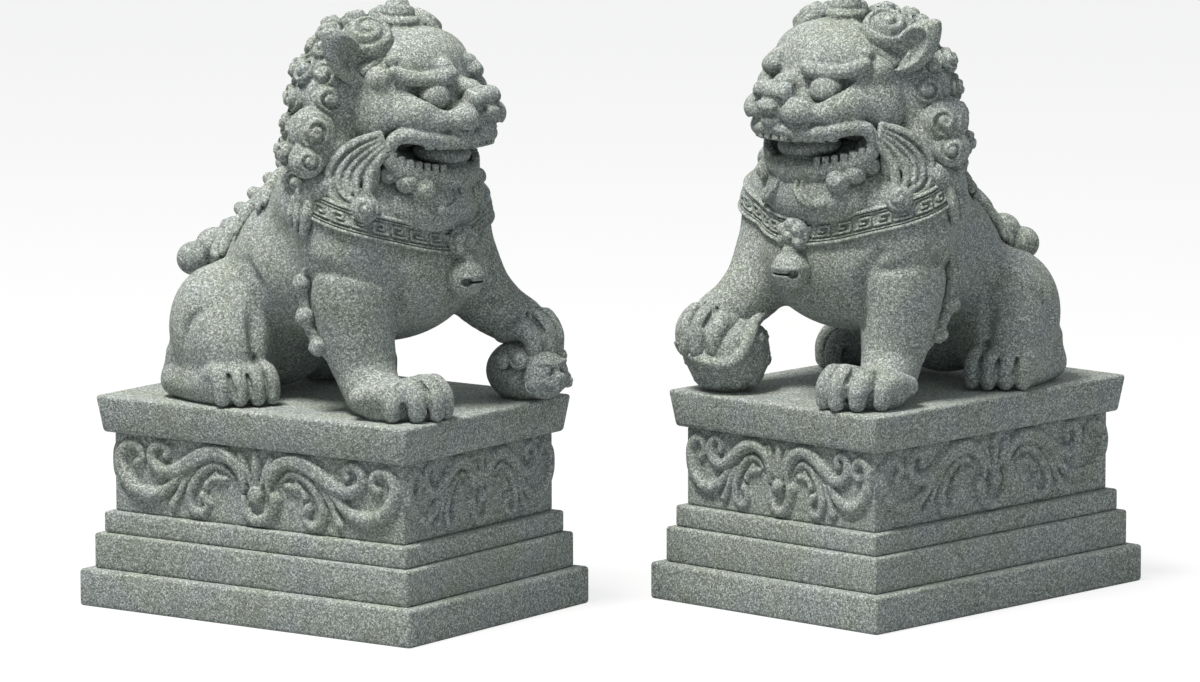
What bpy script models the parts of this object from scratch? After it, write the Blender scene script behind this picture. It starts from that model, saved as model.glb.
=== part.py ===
"""A pair of stone guardian lions on stepped pedestals.

The lioness stands on the left with a cub under her raised paw, and the lion on the
right with a ribboned ball under his. Each pedestal is a stack of squared courses with
a carved scroll frieze. Each animal is built from the masses a carver would rough out:
torso, haunches, forelegs, head, jaw, mane and their ornaments. Every one is a separate
solid, laid on the ones before it with a narrow joint, from the largest to the finest.

All lengths are in metres and +Z is up. In an animal's own frame +X is forward, its near
side (the one that the pair shows) is -Y, and heights start at the top of the pedestal.
"""
import math

import bmesh
import bpy
from mathutils import Matrix, Vector

MM = 0.001

# Joint between two pieces that touch on the real casting
JOINT = 0.3 * MM

# Points of a cut closer than this are one point
WELD = 0.002 * MM

# Share of the faces that stays when the slivers along the cuts are thinned out
KEPT_FACES = 0.76

# The pair: distance between the pedestal centres and the way each animal looks
PAIR_SPACING = 187.0 * MM
PAIR_STAGGER = 25.4 * MM
LIONESS_HEADING = math.radians(-35.2)
LION_HEADING = math.radians(-133.1)

# Pedestal courses, from the floor up; each setback is measured from the course below
FOOT_LENGTH = 137.5 * MM
FOOT_WIDTH = 101.0 * MM
FOOT_HEIGHT = 12.2 * MM
LOWER_STEP_SETBACK = 3.9 * MM
LOWER_STEP_HEIGHT = 11.5 * MM
UPPER_STEP_SETBACK = 2.3 * MM
UPPER_STEP_HEIGHT = 6.9 * MM
FRIEZE_SETBACK = 3.2 * MM
FRIEZE_HEIGHT = 26.0 * MM
CAP_OVERHANG = 3.4 * MM
CAP_FLARE = 1.8 * MM
CAP_HEIGHT = 12.1 * MM
EDGE_CHAMFER = 1.1 * MM

# Carving on the frieze
RELIEF_DEPTH = 1.9 * MM
STEM_WIDTH = 3.0 * MM
VOLUTE_RADIUS = 5.4 * MM
PETAL_LENGTH = 9.0 * MM
PETAL_WIDTH = 2.6 * MM
BOSS_LENGTH = 4.2 * MM

# Body: the neck and shoulders are set out from the chest, and the head from the neck
CHEST_HEIGHT = 47.0 * MM
CHEST_REACH = 20.0 * MM
CHEST_LENGTH = 32.0 * MM
CHEST_HALF_WIDTH = 34.0 * MM
NECK_RISE = 19.0 * MM
NECK_HALF_WIDTH = 36.0 * MM
NECK_HALF_HEIGHT = 24.0 * MM
LOIN_DROP = 3.0 * MM
LOIN_LENGTH = 30.0 * MM
LOIN_HALF_WIDTH = 30.0 * MM
LOIN_HALF_HEIGHT = 26.0 * MM
RUMP_HEIGHT = 27.0 * MM
RUMP_REACH = 27.0 * MM
RUMP_LENGTH = 19.0 * MM
RUMP_HALF_WIDTH = 27.0 * MM
RUMP_HALF_HEIGHT = 26.0 * MM

# Hind legs
HIP_SPREAD = 26.0 * MM
THIGH_LENGTH = 20.0 * MM
THIGH_HEIGHT = 22.5 * MM
THIGH_THICKNESS = 17.0 * MM
HIND_FOOT_LENGTH = 33.0 * MM
HIND_FOOT_WIDTH = 16.0 * MM

# Forelegs
SHOULDER_SPREAD = 26.5 * MM
SHOULDER_REACH = 26.0 * MM
SHOULDER_RISE = 9.0 * MM
SHOULDER_RADIUS = 17.0 * MM
FOREARM_RADIUS = 13.2 * MM
WRIST_RADIUS = 10.8 * MM
PAW_REACH = 47.0 * MM
PAW_SPREAD = 30.5 * MM
PAW_WIDTH = 22.0 * MM
PAW_HEIGHT = 14.0 * MM
TOE_RADIUS = 3.9 * MM

# Head, and its turn away from the side that the pair shows
HEAD_TURN = math.radians(9.5)
HEAD_PIVOT_REACH = 40.0 * MM
HEAD_RISE = 37.0 * MM
HEAD_REACH = 34.0 * MM
HEAD_LENGTH = 23.0 * MM
HEAD_HALF_WIDTH = 27.5 * MM
HEAD_HALF_HEIGHT = 22.0 * MM
FOREHEAD_HALF_WIDTH = 25.0 * MM
MUZZLE_REACH = 51.0 * MM
MUZZLE_LENGTH = 13.5 * MM
MUZZLE_HALF_WIDTH = 18.5 * MM
MUZZLE_HALF_HEIGHT = 8.0 * MM
NOSE_RADIUS = 5.2 * MM
EYE_RADIUS = 5.2 * MM
BROW_RADIUS = 4.4 * MM
MOUTH_GAP = 3.6 * MM
JAW_SETBACK = 6.5 * MM
JAW_LENGTH = 13.5 * MM
JAW_HALF_WIDTH = 17.0 * MM
JAW_HALF_HEIGHT = 5.4 * MM
EAR_LENGTH = 19.0 * MM
EAR_HALF_WIDTH = 9.0 * MM
EAR_THICKNESS = 3.2 * MM

# Mane, locks and ornaments
MANE_REACH = 12.0 * MM
MANE_DEPTH = 21.5 * MM
MANE_HALF_WIDTH = 32.0 * MM
MANE_HALF_HEIGHT = 23.0 * MM
MANE_DROP = 18.0 * MM
CURL_RADIUS = 4.8 * MM
DISC_RADIUS = 6.4 * MM
BUN_RADIUS = 4.8 * MM
LOCK_RADIUS = 3.0 * MM
BEAD_RADIUS = 3.7 * MM
COLLAR_RISE = 8.5 * MM
COLLAR_BAND = 8.8 * MM
COLLAR_PROUD = 1.8 * MM
COLLAR_BORDER = 1.7 * MM
COLLAR_ROOT = 4.5 * MM
ROSETTE_RADIUS = 6.0 * MM
BELL_RADIUS = 6.4 * MM
TASSEL_RADIUS = 6.4 * MM
TASSEL_STRAND_RADIUS = 2.6 * MM
FRINGE_KNOB_RADIUS = 3.6 * MM
FLAME_RADIUS = 4.8 * MM
TAIL_LOBE_RADIUS = 6.6 * MM

# What lies under the raised paw
BALL_RADIUS = 14.0 * MM
BALL_REACH = 50.5 * MM
BALL_SPREAD = 30.5 * MM
RIBBON_WIDTH = 6.0 * MM
RIBBON_PROUD = 1.9 * MM
CUB_HEAD_RADIUS = 8.8 * MM

# Heights of the courses
LOWER_STEP_BASE = FOOT_HEIGHT + JOINT
UPPER_STEP_BASE = LOWER_STEP_BASE + LOWER_STEP_HEIGHT + JOINT
FRIEZE_BASE = UPPER_STEP_BASE + UPPER_STEP_HEIGHT + JOINT
CAP_BASE = FRIEZE_BASE + FRIEZE_HEIGHT + JOINT
CAP_TOP = CAP_BASE + CAP_HEIGHT


# Shapes. Each can be built larger by "grow", which leaves room for a joint.


def close_shell(bm):
    """Face outward, with each quad split the same way in a shape and in its grown copy."""
    bmesh.ops.recalc_face_normals(bm, faces=bm.faces)
    bmesh.ops.triangulate(bm, faces=bm.faces, quad_method="FIXED")
    return bm


def bridge(bm, rings):
    """Join neighbouring rings of points with quads."""
    for lower, upper in zip(rings, rings[1:]):
        for i in range(len(lower)):
            j = (i + 1) % len(lower)
            bm.faces.new((lower[i], lower[j], upper[j], upper[i]))


class Ball:
    """An ellipsoid, turned about X, Y and then Z by degrees."""

    def __init__(self, center, radii, turn=(0.0, 0.0, 0.0), segments=8, rings=6):
        self.center = Vector(center)
        self.radii = Vector(radii) if hasattr(radii, "__len__") else Vector((radii, radii, radii))
        self.turned = Matrix.Identity(3)
        for axis, angle in zip("XYZ", turn):
            self.turned = Matrix.Rotation(math.radians(angle), 3, axis) @ self.turned
        self.segments = segments
        self.rings = rings

    def skin(self, azimuth, elevation, lift=0.0):
        """A point on the surface: azimuth from forward to the far side, in degrees."""
        a, e = math.radians(azimuth), math.radians(elevation)
        way = Vector((math.cos(e) * math.cos(a), math.cos(e) * math.sin(a), math.sin(e)))
        x, y, z = self.radii
        normal = Vector((way.x / x, way.y / y, way.z / z)).normalized()
        spot = Vector((way.x * x, way.y * y, way.z * z)) + normal * lift
        return self.center + self.turned @ spot

    def build(self, grow=0.0):
        bm = bmesh.new()
        bmesh.ops.create_uvsphere(bm, u_segments=self.segments, v_segments=self.rings, radius=1.0)
        x, y, z = (radius + grow for radius in self.radii)
        place = Matrix.Translation(self.center) @ self.turned.to_4x4() @ Matrix.Diagonal((x, y, z, 1.0))
        bmesh.ops.transform(bm, matrix=place, verts=bm.verts)
        return close_shell(bm)


class Bead:
    """A small round knob with twenty faces."""

    def __init__(self, center, radius):
        self.center = Vector(center)
        self.radius = radius

    def build(self, grow=0.0):
        bm = bmesh.new()
        bmesh.ops.create_icosphere(bm, subdivisions=1, radius=1.08 * self.radius + grow)
        bmesh.ops.translate(bm, vec=self.center, verts=bm.verts)
        return close_shell(bm)


class Limb:
    """A form lofted through stations (point, half width, half depth), with closed ends.

    The width lies along "across". A limb of more than six sides ends in domes.
    """

    def __init__(self, stations, across=(0.0, 1.0, 0.0), sides=6):
        self.stations = [(Vector(point), width, depth) for point, width, depth in stations]
        self.across = Vector(across)
        self.sides = sides
        self.center = self.stations[len(stations) // 2][0].copy()

    def build(self, grow=0.0):
        bm = bmesh.new()
        points = [point for point, _, _ in self.stations]
        last = len(points) - 1
        rings = []
        ends = {0: -1, last: 1}
        caps = []
        for i, (point, width, depth) in enumerate(self.stations):
            ahead = (points[min(i + 1, last)] - points[max(i - 1, 0)]).normalized()
            wide = (self.across - ahead * self.across.dot(ahead)).normalized()
            deep = ahead.cross(wide)
            width, depth = width + grow, depth + grow
            reach = min(width, depth)
            ring = self.ring(bm, point, wide * width, deep * depth)
            if i in ends:
                step = ends[i]
                caps.append(bm.verts.new(point + ahead * step * 0.8 * reach))
                if self.sides > 6:
                    dome = self.ring(bm, point + ahead * step * 0.52 * reach,
                                     wide * width * 0.74, deep * depth * 0.74)
                    rings += [dome, ring] if step < 0 else [ring, dome]
                    continue
            rings.append(ring)
        bridge(bm, rings)
        for ring, cap in ((rings[0], caps[0]), (rings[-1], caps[-1])):
            for i in range(self.sides):
                bm.faces.new((ring[i], ring[(i + 1) % self.sides], cap))
        return close_shell(bm)

    def ring(self, bm, point, wide, deep):
        turns = [2.0 * math.pi * i / self.sides for i in range(self.sides)]
        return [bm.verts.new(point + wide * math.cos(t) + deep * math.sin(t)) for t in turns]


class Course:
    """A squared block that may flare from bottom to top, with chamfered edges."""

    def __init__(self, size, base, height, flare=0.0, edge=EDGE_CHAMFER):
        self.size = size
        self.base = base
        self.height = height
        self.flare = flare
        self.edge = edge
        self.center = Vector((0.0, 0.0, base))

    def build(self, grow=0.0):
        length, width = self.size
        bm = bmesh.new()
        bmesh.ops.create_cube(bm, size=1.0)
        for vert in bm.verts:
            upper = vert.co.z > 0.0
            flare = self.flare if upper else 0.0
            vert.co.x = math.copysign(length / 2 + flare + grow, vert.co.x)
            vert.co.y = math.copysign(width / 2 + flare + grow, vert.co.y)
            vert.co.z = self.base + self.height + grow if upper else self.base - grow
        bmesh.ops.bevel(bm, geom=bm.edges[:], offset=self.edge, segments=1, affect="EDGES")
        return close_shell(bm)


class Band:
    """A strap swept along a path, with a raised border on both long edges.

    The path's points are (point, outward, upward), with unit directions.
    """

    def __init__(self, path, height, proud, border, root):
        self.path = path
        half = height / 2
        field = proud - 0.5 * border
        self.profile = [(-root, -half), (proud, -half), (field, border - half),
                        (field, half - border), (proud, half), (-root, half)]
        self.center = path[len(path) // 2][0].copy()

    def build(self, grow=0.0):
        bm = bmesh.new()
        rings = []
        last = len(self.path) - 1
        for i, (point, outward, upward) in enumerate(self.path):
            ahead = (self.path[min(i + 1, last)][0] - self.path[max(i - 1, 0)][0]).normalized()
            slide = {0: -grow, last: grow}.get(i, 0.0)
            rings.append([bm.verts.new(point + ahead * slide + outward * (out + math.copysign(grow, out))
                                       + upward * (up + math.copysign(grow, up)))
                          for out, up in self.profile])
        bridge(bm, rings)
        bm.faces.new(rings[0])
        bm.faces.new(rings[-1])
        return close_shell(bm)


class Turned:
    """A shape of the head, turned with it about an upright line."""

    def __init__(self, shape):
        pivot = Matrix.Translation((HEAD_PIVOT_REACH, 0.0, 0.0))
        self.shape = shape
        self.turn = pivot @ Matrix.Rotation(HEAD_TURN, 4, "Z") @ pivot.inverted()
        self.center = self.turn @ shape.center

    def build(self, grow=0.0):
        bm = self.shape.build(grow)
        bmesh.ops.transform(bm, matrix=self.turn, verts=bm.verts)
        return bm


# Joining and carving


def as_object(name, bm):
    mesh = bpy.data.meshes.new(name)
    bm.to_mesh(mesh)
    bm.free()
    obj = bpy.data.objects.new(name, mesh)
    bpy.context.scene.collection.objects.link(obj)
    return obj


def combine(obj, operands, operation):
    """Join the operands to the object, or cut them from it, in one exact Boolean."""
    if not operands:
        return
    group = bpy.data.collections.new("operands")
    bpy.context.scene.collection.children.link(group)
    for operand in operands:
        group.objects.link(operand)
    modifier = obj.modifiers.new(operation.title(), "BOOLEAN")
    modifier.solver = "EXACT"
    modifier.operation = operation
    modifier.operand_type = "COLLECTION"
    modifier.collection = group
    bake(obj)
    bpy.data.collections.remove(group)


def bake(obj):
    """Replace the object's mesh with what its modifiers make of it."""
    graph = bpy.context.evaluated_depsgraph_get()
    result = bpy.data.meshes.new_from_object(obj.evaluated_get(graph))
    obj.modifiers.clear()
    obj.data = result


def drop(objects):
    for obj in objects:
        bpy.data.objects.remove(obj)


def fuse(name, shapes):
    """One object that is the union of the shapes."""
    first, *others = [as_object(name, shape.build()) for shape in shapes]
    combine(first, others, "UNION")
    drop(others)
    return first


def seats_of(shapes):
    """The shapes one joint larger, to cut from the pieces that are laid on them."""
    return [as_object("seat", shape.build(JOINT)) for shape in shapes]


def bodies(bm):
    """The separate bodies of a mesh, as lists of points."""
    unseen = set(bm.verts)
    found = []
    while unseen:
        stack = [unseen.pop()]
        body = []
        while stack:
            vert = stack.pop()
            body.append(vert)
            for edge in vert.link_edges:
                other = edge.other_vert(vert)
                if other in unseen:
                    unseen.remove(other)
                    stack.append(other)
        found.append(body)
    return found


def clear_chips(obj):
    """Weld doubled points and keep the largest body, without the chips that a cut frees."""
    bm = bmesh.new()
    bm.from_mesh(obj.data)
    bmesh.ops.remove_doubles(bm, verts=bm.verts, dist=WELD)
    bmesh.ops.dissolve_degenerate(bm, dist=WELD, edges=bm.edges)

    def spread(body):
        low, high = box_of_points([vert.co for vert in body])
        return (high - low).length

    for chip in sorted(bodies(bm), key=spread)[:-1]:
        bmesh.ops.delete(bm, geom=chip, context="VERTS")
    bmesh.ops.triangulate(bm, faces=bm.faces)
    bm.to_mesh(obj.data)
    bm.free()


def thin_out(obj):
    """Collapse slivers along the cuts, which moves the surface by less than half a joint."""
    modifier = obj.modifiers.new("Thin", "DECIMATE")
    modifier.ratio = KEPT_FACES
    bake(obj)


def box_of_points(points):
    low = Vector(min(p[k] for p in points) for k in range(3))
    high = Vector(max(p[k] for p in points) for k in range(3))
    return low, high


def boxes_meet(obj, other):
    (low, high), (other_low, other_high) = (
        box_of_points([vert.co for vert in item.data.vertices]) for item in (obj, other))
    return all(low[k] < other_high[k] and other_low[k] < high[k] for k in range(3))


def stone(name, shade):
    """Cast stone: a mid grey with a green cast, matt."""
    material = bpy.data.materials.new(name + "_stone")
    material.use_nodes = True
    color = (0.20 * shade, 0.225 * shade, 0.21 * shade, 1.0)
    shader = material.node_tree.nodes["Principled BSDF"]
    shader.inputs["Base Color"].default_value = color
    shader.inputs["Roughness"].default_value = 0.9
    shader.inputs["Metallic"].default_value = 0.0
    material.diffuse_color = color
    return material


# Pedestal


def course_size(setback):
    return FOOT_LENGTH - 2 * setback, FOOT_WIDTH - 2 * setback


def pedestal():
    """The five courses, from the floor up."""
    lower = LOWER_STEP_SETBACK
    upper = lower + UPPER_STEP_SETBACK
    frieze = upper + FRIEZE_SETBACK
    cap = frieze - CAP_OVERHANG
    block = Course(course_size(frieze), FRIEZE_BASE, FRIEZE_HEIGHT)
    return {
        "foot_slab": [Course(course_size(0.0), 0.0, FOOT_HEIGHT, edge=1.5 * EDGE_CHAMFER)],
        "lower_step": [Course(course_size(lower), LOWER_STEP_BASE, LOWER_STEP_HEIGHT)],
        "upper_step": [Course(course_size(upper), UPPER_STEP_BASE, UPPER_STEP_HEIGHT)],
        "frieze_block": [block, *frieze_carving(*course_size(frieze))],
        "cap_slab": [Course(course_size(cap), CAP_BASE, CAP_HEIGHT, flare=CAP_FLARE)],
    }


def frieze_carving(length, width):
    """A palmette between two scrolls on each of the four faces."""
    shapes = []
    for quarter in range(4):
        turn = Matrix.Rotation(quarter * math.pi / 2, 3, "Z")
        face, reach = (length, width) if quarter % 2 else (width, length)
        outward = turn @ Vector((1.0, 0.0, 0.0))
        along = turn @ Vector((0.0, 1.0, 0.0))
        center = outward * (reach / 2) + Vector((0.0, 0.0, FRIEZE_BASE + FRIEZE_HEIGHT / 2))
        shapes += face_carving(center, along, outward, face)
    return shapes


def face_carving(center, along, outward, face):
    def spot(across, up):
        return center + along * across + Vector((0.0, 0.0, up))

    heart = -0.16 * FRIEZE_HEIGHT
    shapes = []
    for lean in (-48, 0, 48):
        side, rise = math.sin(math.radians(lean)), math.cos(math.radians(lean))
        heel = spot(side * 0.55 * BOSS_LENGTH, heart + rise * 0.8 * BOSS_LENGTH)
        tip = spot(side * PETAL_LENGTH, heart + rise * (PETAL_LENGTH + 0.5 * BOSS_LENGTH))
        shapes.append(Limb([(heel, 0.7 * RELIEF_DEPTH, 0.32 * PETAL_WIDTH),
                            (tip, RELIEF_DEPTH, 0.5 * PETAL_WIDTH)], across=outward, sides=3))
    turn = math.degrees(math.atan2(outward.y, outward.x))
    shapes.append(Ball(spot(0.0, heart), (1.1 * RELIEF_DEPTH, 0.6 * BOSS_LENGTH, BOSS_LENGTH),
                       (0.0, 0.0, turn), 6, 3))
    for hand in (-1, 1):
        shapes.append(Limb([(spot(hand * across, up), RELIEF_DEPTH * size, 0.5 * STEM_WIDTH * size)
                            for across, up, size in scroll(face)], across=outward, sides=3))
    return shapes


def scroll(face):
    """Stem that rises beside the palmette, arches over and winds into a volute."""
    eye = face / 2 - VOLUTE_RADIUS - 0.8 * STEM_WIDTH
    top = FRIEZE_HEIGHT / 2 - 0.8 * STEM_WIDTH
    path = [(0.08 * eye, -0.40 * FRIEZE_HEIGHT, 0.6), (0.40 * eye, -0.10 * FRIEZE_HEIGHT, 1.0),
            (0.60 * eye, 0.8 * top, 1.1)]
    for i in range(4):
        angle = math.radians(80.0 - 82.0 * i)
        radius = VOLUTE_RADIUS * (1.2 - 0.2 * i)
        path.append((eye + radius * math.cos(angle), 0.02 * FRIEZE_HEIGHT + radius * math.sin(angle),
                     1.1 - 0.1 * i))
    return path


# Masses of the animal that other pieces are set out from


def at(x, y, z):
    """A point in the animal's frame."""
    return Vector((x, y, CAP_TOP + z))


CHEST = Ball(at(CHEST_REACH, 0.0, CHEST_HEIGHT),
             (CHEST_LENGTH, CHEST_HALF_WIDTH, 0.84 * CHEST_LENGTH), segments=11, rings=6)
NECK = Ball(at(0.9 * CHEST_REACH, 0.0, CHEST_HEIGHT + NECK_RISE),
            (CHEST_LENGTH, NECK_HALF_WIDTH, NECK_HALF_HEIGHT), segments=11, rings=5)
LOIN = Ball(at(0.4 * CHEST_REACH - 0.5 * RUMP_REACH, 0.0, CHEST_HEIGHT - LOIN_DROP),
            (LOIN_LENGTH, LOIN_HALF_WIDTH, LOIN_HALF_HEIGHT), (0.0, -22.0, 0.0), 9, 5)
RUMP = Ball(at(-RUMP_REACH, 0.0, RUMP_HEIGHT), (RUMP_LENGTH, RUMP_HALF_WIDTH, RUMP_HALF_HEIGHT),
            (0.0, -10.0, 0.0), 8, 5)

# The head's masses, before the head is turned
HEAD_CENTER = at(HEAD_REACH, 0.0, CHEST_HEIGHT + NECK_RISE + HEAD_RISE)
SKULL = Ball(HEAD_CENTER, (HEAD_LENGTH, HEAD_HALF_WIDTH, HEAD_HALF_HEIGHT), segments=10, rings=6)
FOREHEAD = Ball(HEAD_CENTER + Vector((0.32 * HEAD_LENGTH, 0.0, 0.38 * HEAD_HALF_HEIGHT)),
                (0.64 * HEAD_LENGTH, FOREHEAD_HALF_WIDTH, 0.66 * HEAD_HALF_HEIGHT), segments=8, rings=4)
MUZZLE = Ball(HEAD_CENTER + Vector((MUZZLE_REACH - HEAD_REACH, 0.0, -0.39 * HEAD_HALF_HEIGHT)),
              (MUZZLE_LENGTH, MUZZLE_HALF_WIDTH, MUZZLE_HALF_HEIGHT), segments=8, rings=4)
JAW = Ball(MUZZLE.center - Vector((JAW_SETBACK, 0.0, MUZZLE_HALF_HEIGHT + MOUTH_GAP + JAW_HALF_HEIGHT)),
           (JAW_LENGTH, JAW_HALF_WIDTH, JAW_HALF_HEIGHT), rings=4)
MANE_LOW = Ball(HEAD_CENTER + Vector((MANE_REACH - HEAD_REACH, 0.0, -MANE_DROP)),
                (MANE_DEPTH, 1.12 * MANE_HALF_WIDTH, 0.87 * MANE_HALF_HEIGHT), segments=10, rings=5)
MANE_HIGH = Ball(HEAD_CENTER + Vector((1.25 * MANE_REACH - HEAD_REACH, 0.0, 0.09 * HEAD_HALF_HEIGHT)),
                 (MANE_DEPTH, MANE_HALF_WIDTH, MANE_HALF_HEIGHT), segments=10, rings=6)


def turned(shapes):
    return [Turned(shape) for shape in shapes]


# Body and legs


def torso():
    return [CHEST, NECK, LOIN, RUMP]


def toes(base, ahead, across, spacing, length):
    """Four round toes side by side, the middle two furthest forward."""
    ahead = Vector(ahead).normalized()
    across = Vector(across).normalized()
    shapes = []
    for place in (-1.5, -0.5, 0.5, 1.5):
        heel = base + across * (place * spacing) - ahead * (0.7 * abs(place) - 0.35) * TOE_RADIUS
        shapes.append(Limb([(heel, TOE_RADIUS, 1.05 * TOE_RADIUS),
                            (heel + ahead * length, 0.95 * TOE_RADIUS, TOE_RADIUS)],
                           across=across, sides=4))
    return shapes


def haunch(side):
    """A folded hind leg: thigh, knee, hock and a flat paw that points forward."""
    hip = at(-RUMP_REACH, side * HIP_SPREAD, 0.93 * THIGH_HEIGHT)
    thigh = Ball(hip, (THIGH_LENGTH, THIGH_THICKNESS, THIGH_HEIGHT), (0.0, -12.0, 0.0), 8, 6)
    knee = Ball(hip + Vector((0.42 * THIGH_LENGTH, side * 0.16 * THIGH_THICKNESS, -0.25 * THIGH_HEIGHT)),
                (0.42 * THIGH_LENGTH, 0.76 * THIGH_THICKNESS, 0.7 * THIGH_HEIGHT), (0.0, -14.0, 0.0), 6, 4)
    sole = 0.42 * PAW_HEIGHT
    outward = side * (HIP_SPREAD + 0.35 * THIGH_THICKNESS)
    heel = at(-RUMP_REACH - 0.6 * THIGH_LENGTH, outward, sole)
    toe = heel + Vector((HIND_FOOT_LENGTH, side * 0.25 * HIND_FOOT_WIDTH, 0.0))
    foot = Limb([(heel, 0.5 * HIND_FOOT_WIDTH, 0.5 * PAW_HEIGHT),
                 (toe, 0.5 * HIND_FOOT_WIDTH, 0.46 * PAW_HEIGHT)])
    hock = Ball(heel + Vector((0.07, 0.0, 0.36)) * PAW_HEIGHT, Vector((0.5, 0.54, 0.71)) * PAW_HEIGHT,
                segments=5, rings=3)
    return [thigh, knee, foot, hock, *toes(toe, (1.0, 0.1 * side, 0.0), (-0.15 * side, 1.0, 0.0),
                                           0.3 * HIND_FOOT_WIDTH, 1.4 * TOE_RADIUS)]


def shoulder(side):
    return Ball(at(SHOULDER_REACH, side * SHOULDER_SPREAD, CHEST_HEIGHT + SHOULDER_RISE),
                (SHOULDER_RADIUS, 0.92 * SHOULDER_RADIUS, 1.12 * SHOULDER_RADIUS), segments=8, rings=5)


def standing_foreleg():
    """The near foreleg, planted on the pedestal."""
    top = shoulder(-1)
    paw = at(PAW_REACH, -PAW_SPREAD, 0.42 * PAW_HEIGHT)
    arm = top.center + Vector((0.06, 0.03, -0.6)) * SHOULDER_RADIUS
    elbow = top.center.lerp(paw, 0.42) + Vector((-0.49, 0.11, 0.0)) * FOREARM_RADIUS
    wrist = top.center.lerp(paw, 0.8) + Vector((-0.88, 0.37, 0.0)) * WRIST_RADIUS
    heel = paw + Vector((-0.43, 0.09, 0.02)) * PAW_WIDTH
    return [
        top,
        Limb([(arm, 1.1 * FOREARM_RADIUS, 1.12 * FOREARM_RADIUS), (elbow, FOREARM_RADIUS, FOREARM_RADIUS),
              (wrist, WRIST_RADIUS, WRIST_RADIUS), (heel, 0.45 * PAW_WIDTH, WRIST_RADIUS)], sides=8),
        Ball(paw, (0.55 * PAW_WIDTH, 0.5 * PAW_WIDTH, 0.54 * PAW_HEIGHT), segments=7, rings=4),
        *toes(paw + Vector((0.25, 0.0, -0.02)) * PAW_WIDTH, (1.0, -0.05, -0.1), (0.0, 1.0, 0.0),
              0.25 * PAW_WIDTH, 1.67 * TOE_RADIUS),
    ]


def raised_foreleg():
    """The far foreleg, whose paw rests on the ball or the cub."""
    top = shoulder(1)
    paw = at(BALL_REACH, BALL_SPREAD, 0.0) + Vector((0.07, 0.14, 1.72)) * BALL_RADIUS
    arm = top.center + Vector((0.23, 0.03, -0.5)) * SHOULDER_RADIUS
    elbow = top.center.lerp(paw, 0.52) + Vector((-0.11, 0.0, 0.23)) * FOREARM_RADIUS
    wrist = top.center.lerp(paw, 0.8) + Vector((-0.09, 0.0, 0.14)) * WRIST_RADIUS
    return [
        top,
        Limb([(arm, 1.08 * FOREARM_RADIUS, 1.1 * FOREARM_RADIUS),
              (elbow, 0.98 * FOREARM_RADIUS, 0.95 * FOREARM_RADIUS),
              (wrist, WRIST_RADIUS, 0.9 * WRIST_RADIUS),
              (paw, 0.48 * PAW_WIDTH, 0.5 * PAW_HEIGHT)], sides=8),
        *toes(paw + Vector((0.11 * PAW_WIDTH, 0.0, 0.0)), (0.85, 0.1, -0.52), (0.0, 1.0, 0.0),
              0.25 * PAW_WIDTH, 2.05 * TOE_RADIUS),
    ]


# Head and hair


def head():
    """Skull, forehead, cheeks, brows, eyes, muzzle and nose."""
    shapes = [SKULL, FOREHEAD, MUZZLE]
    nose = MUZZLE.skin(0.0, 38.0)
    shapes.append(Ball(nose, (NOSE_RADIUS, 1.5 * NOSE_RADIUS, NOSE_RADIUS), segments=6, rings=4))
    for side in (-1, 1):
        shapes.append(Bead(nose + Vector((-0.2, 1.5 * side, -0.15)) * NOSE_RADIUS, 0.85 * NOSE_RADIUS))
        eye = SKULL.skin(side * 34.0, 2.0, lift=-0.2 * EYE_RADIUS)
        shapes.append(Ball(eye, EYE_RADIUS, segments=6, rings=4))
        cheek = SKULL.skin(side * 58.0, -24.0, lift=-0.3 * HEAD_LENGTH)
        shapes.append(Ball(cheek, Vector((0.6, 0.45, 0.48)) * HEAD_LENGTH, segments=6, rings=4))
        brow = [(FOREHEAD.skin(side * azimuth, elevation, lift=-0.3 * BROW_RADIUS), BROW_RADIUS * size)
                for azimuth, elevation, size in ((23.0, -2.0, 1.0), (56.0, 0.0, 1.0), (92.0, 18.0, 0.8))]
        shapes.append(Limb([(spot, radius, radius) for spot, radius in brow],
                           across=(0.0, 0.0, 1.0), sides=4))
    return shapes


def lower_jaw():
    chin = Ball(JAW.skin(0.0, 0.0, lift=-0.4 * JAW_LENGTH),
                (0.48 * JAW_LENGTH, 0.62 * JAW_HALF_WIDTH, 1.1 * JAW_HALF_HEIGHT), segments=7, rings=4)
    return [JAW, chin]


def mane():
    """The hair behind the face: rows of curls, rolled discs at its edge and a bun."""
    crown = Ball(SKULL.center + Vector((-0.32 * HEAD_LENGTH, 0.0, 0.78 * HEAD_HALF_HEIGHT)),
                 (0.56 * HEAD_LENGTH, 0.8 * HEAD_HALF_WIDTH, 0.4 * HEAD_HALF_HEIGHT), segments=8, rings=5)
    bun = Ball(crown.skin(0.0, 84.0, lift=0.1 * BUN_RADIUS), Vector((1.1, 1.1, 1.0)) * BUN_RADIUS,
               segments=6, rings=4)
    shapes = [MANE_LOW, MANE_HIGH, crown, bun]
    for side in (-1, 1):
        discs = ((MANE_HIGH, 78.0, -3.0), (MANE_LOW, 78.0, 26.0), (MANE_LOW, 78.0, -3.0),
                 (crown, 86.0, 30.0))
        for mass, azimuth, elevation in discs:
            shapes.append(Bead(mass.skin(side * azimuth, elevation, lift=-0.35 * DISC_RADIUS), DISC_RADIUS))
    rows = ((MANE_LOW, -8.0, 3), (MANE_LOW, 36.0, 2), (MANE_HIGH, 30.0, 3))
    for mass, elevation, count in rows:
        for i in range(count):
            azimuth = 180.0 + 50.0 * (i - (count - 1) / 2)
            shapes.append(Bead(mass.skin(azimuth, elevation, lift=-0.2 * CURL_RADIUS), CURL_RADIUS))
    return shapes


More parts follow.
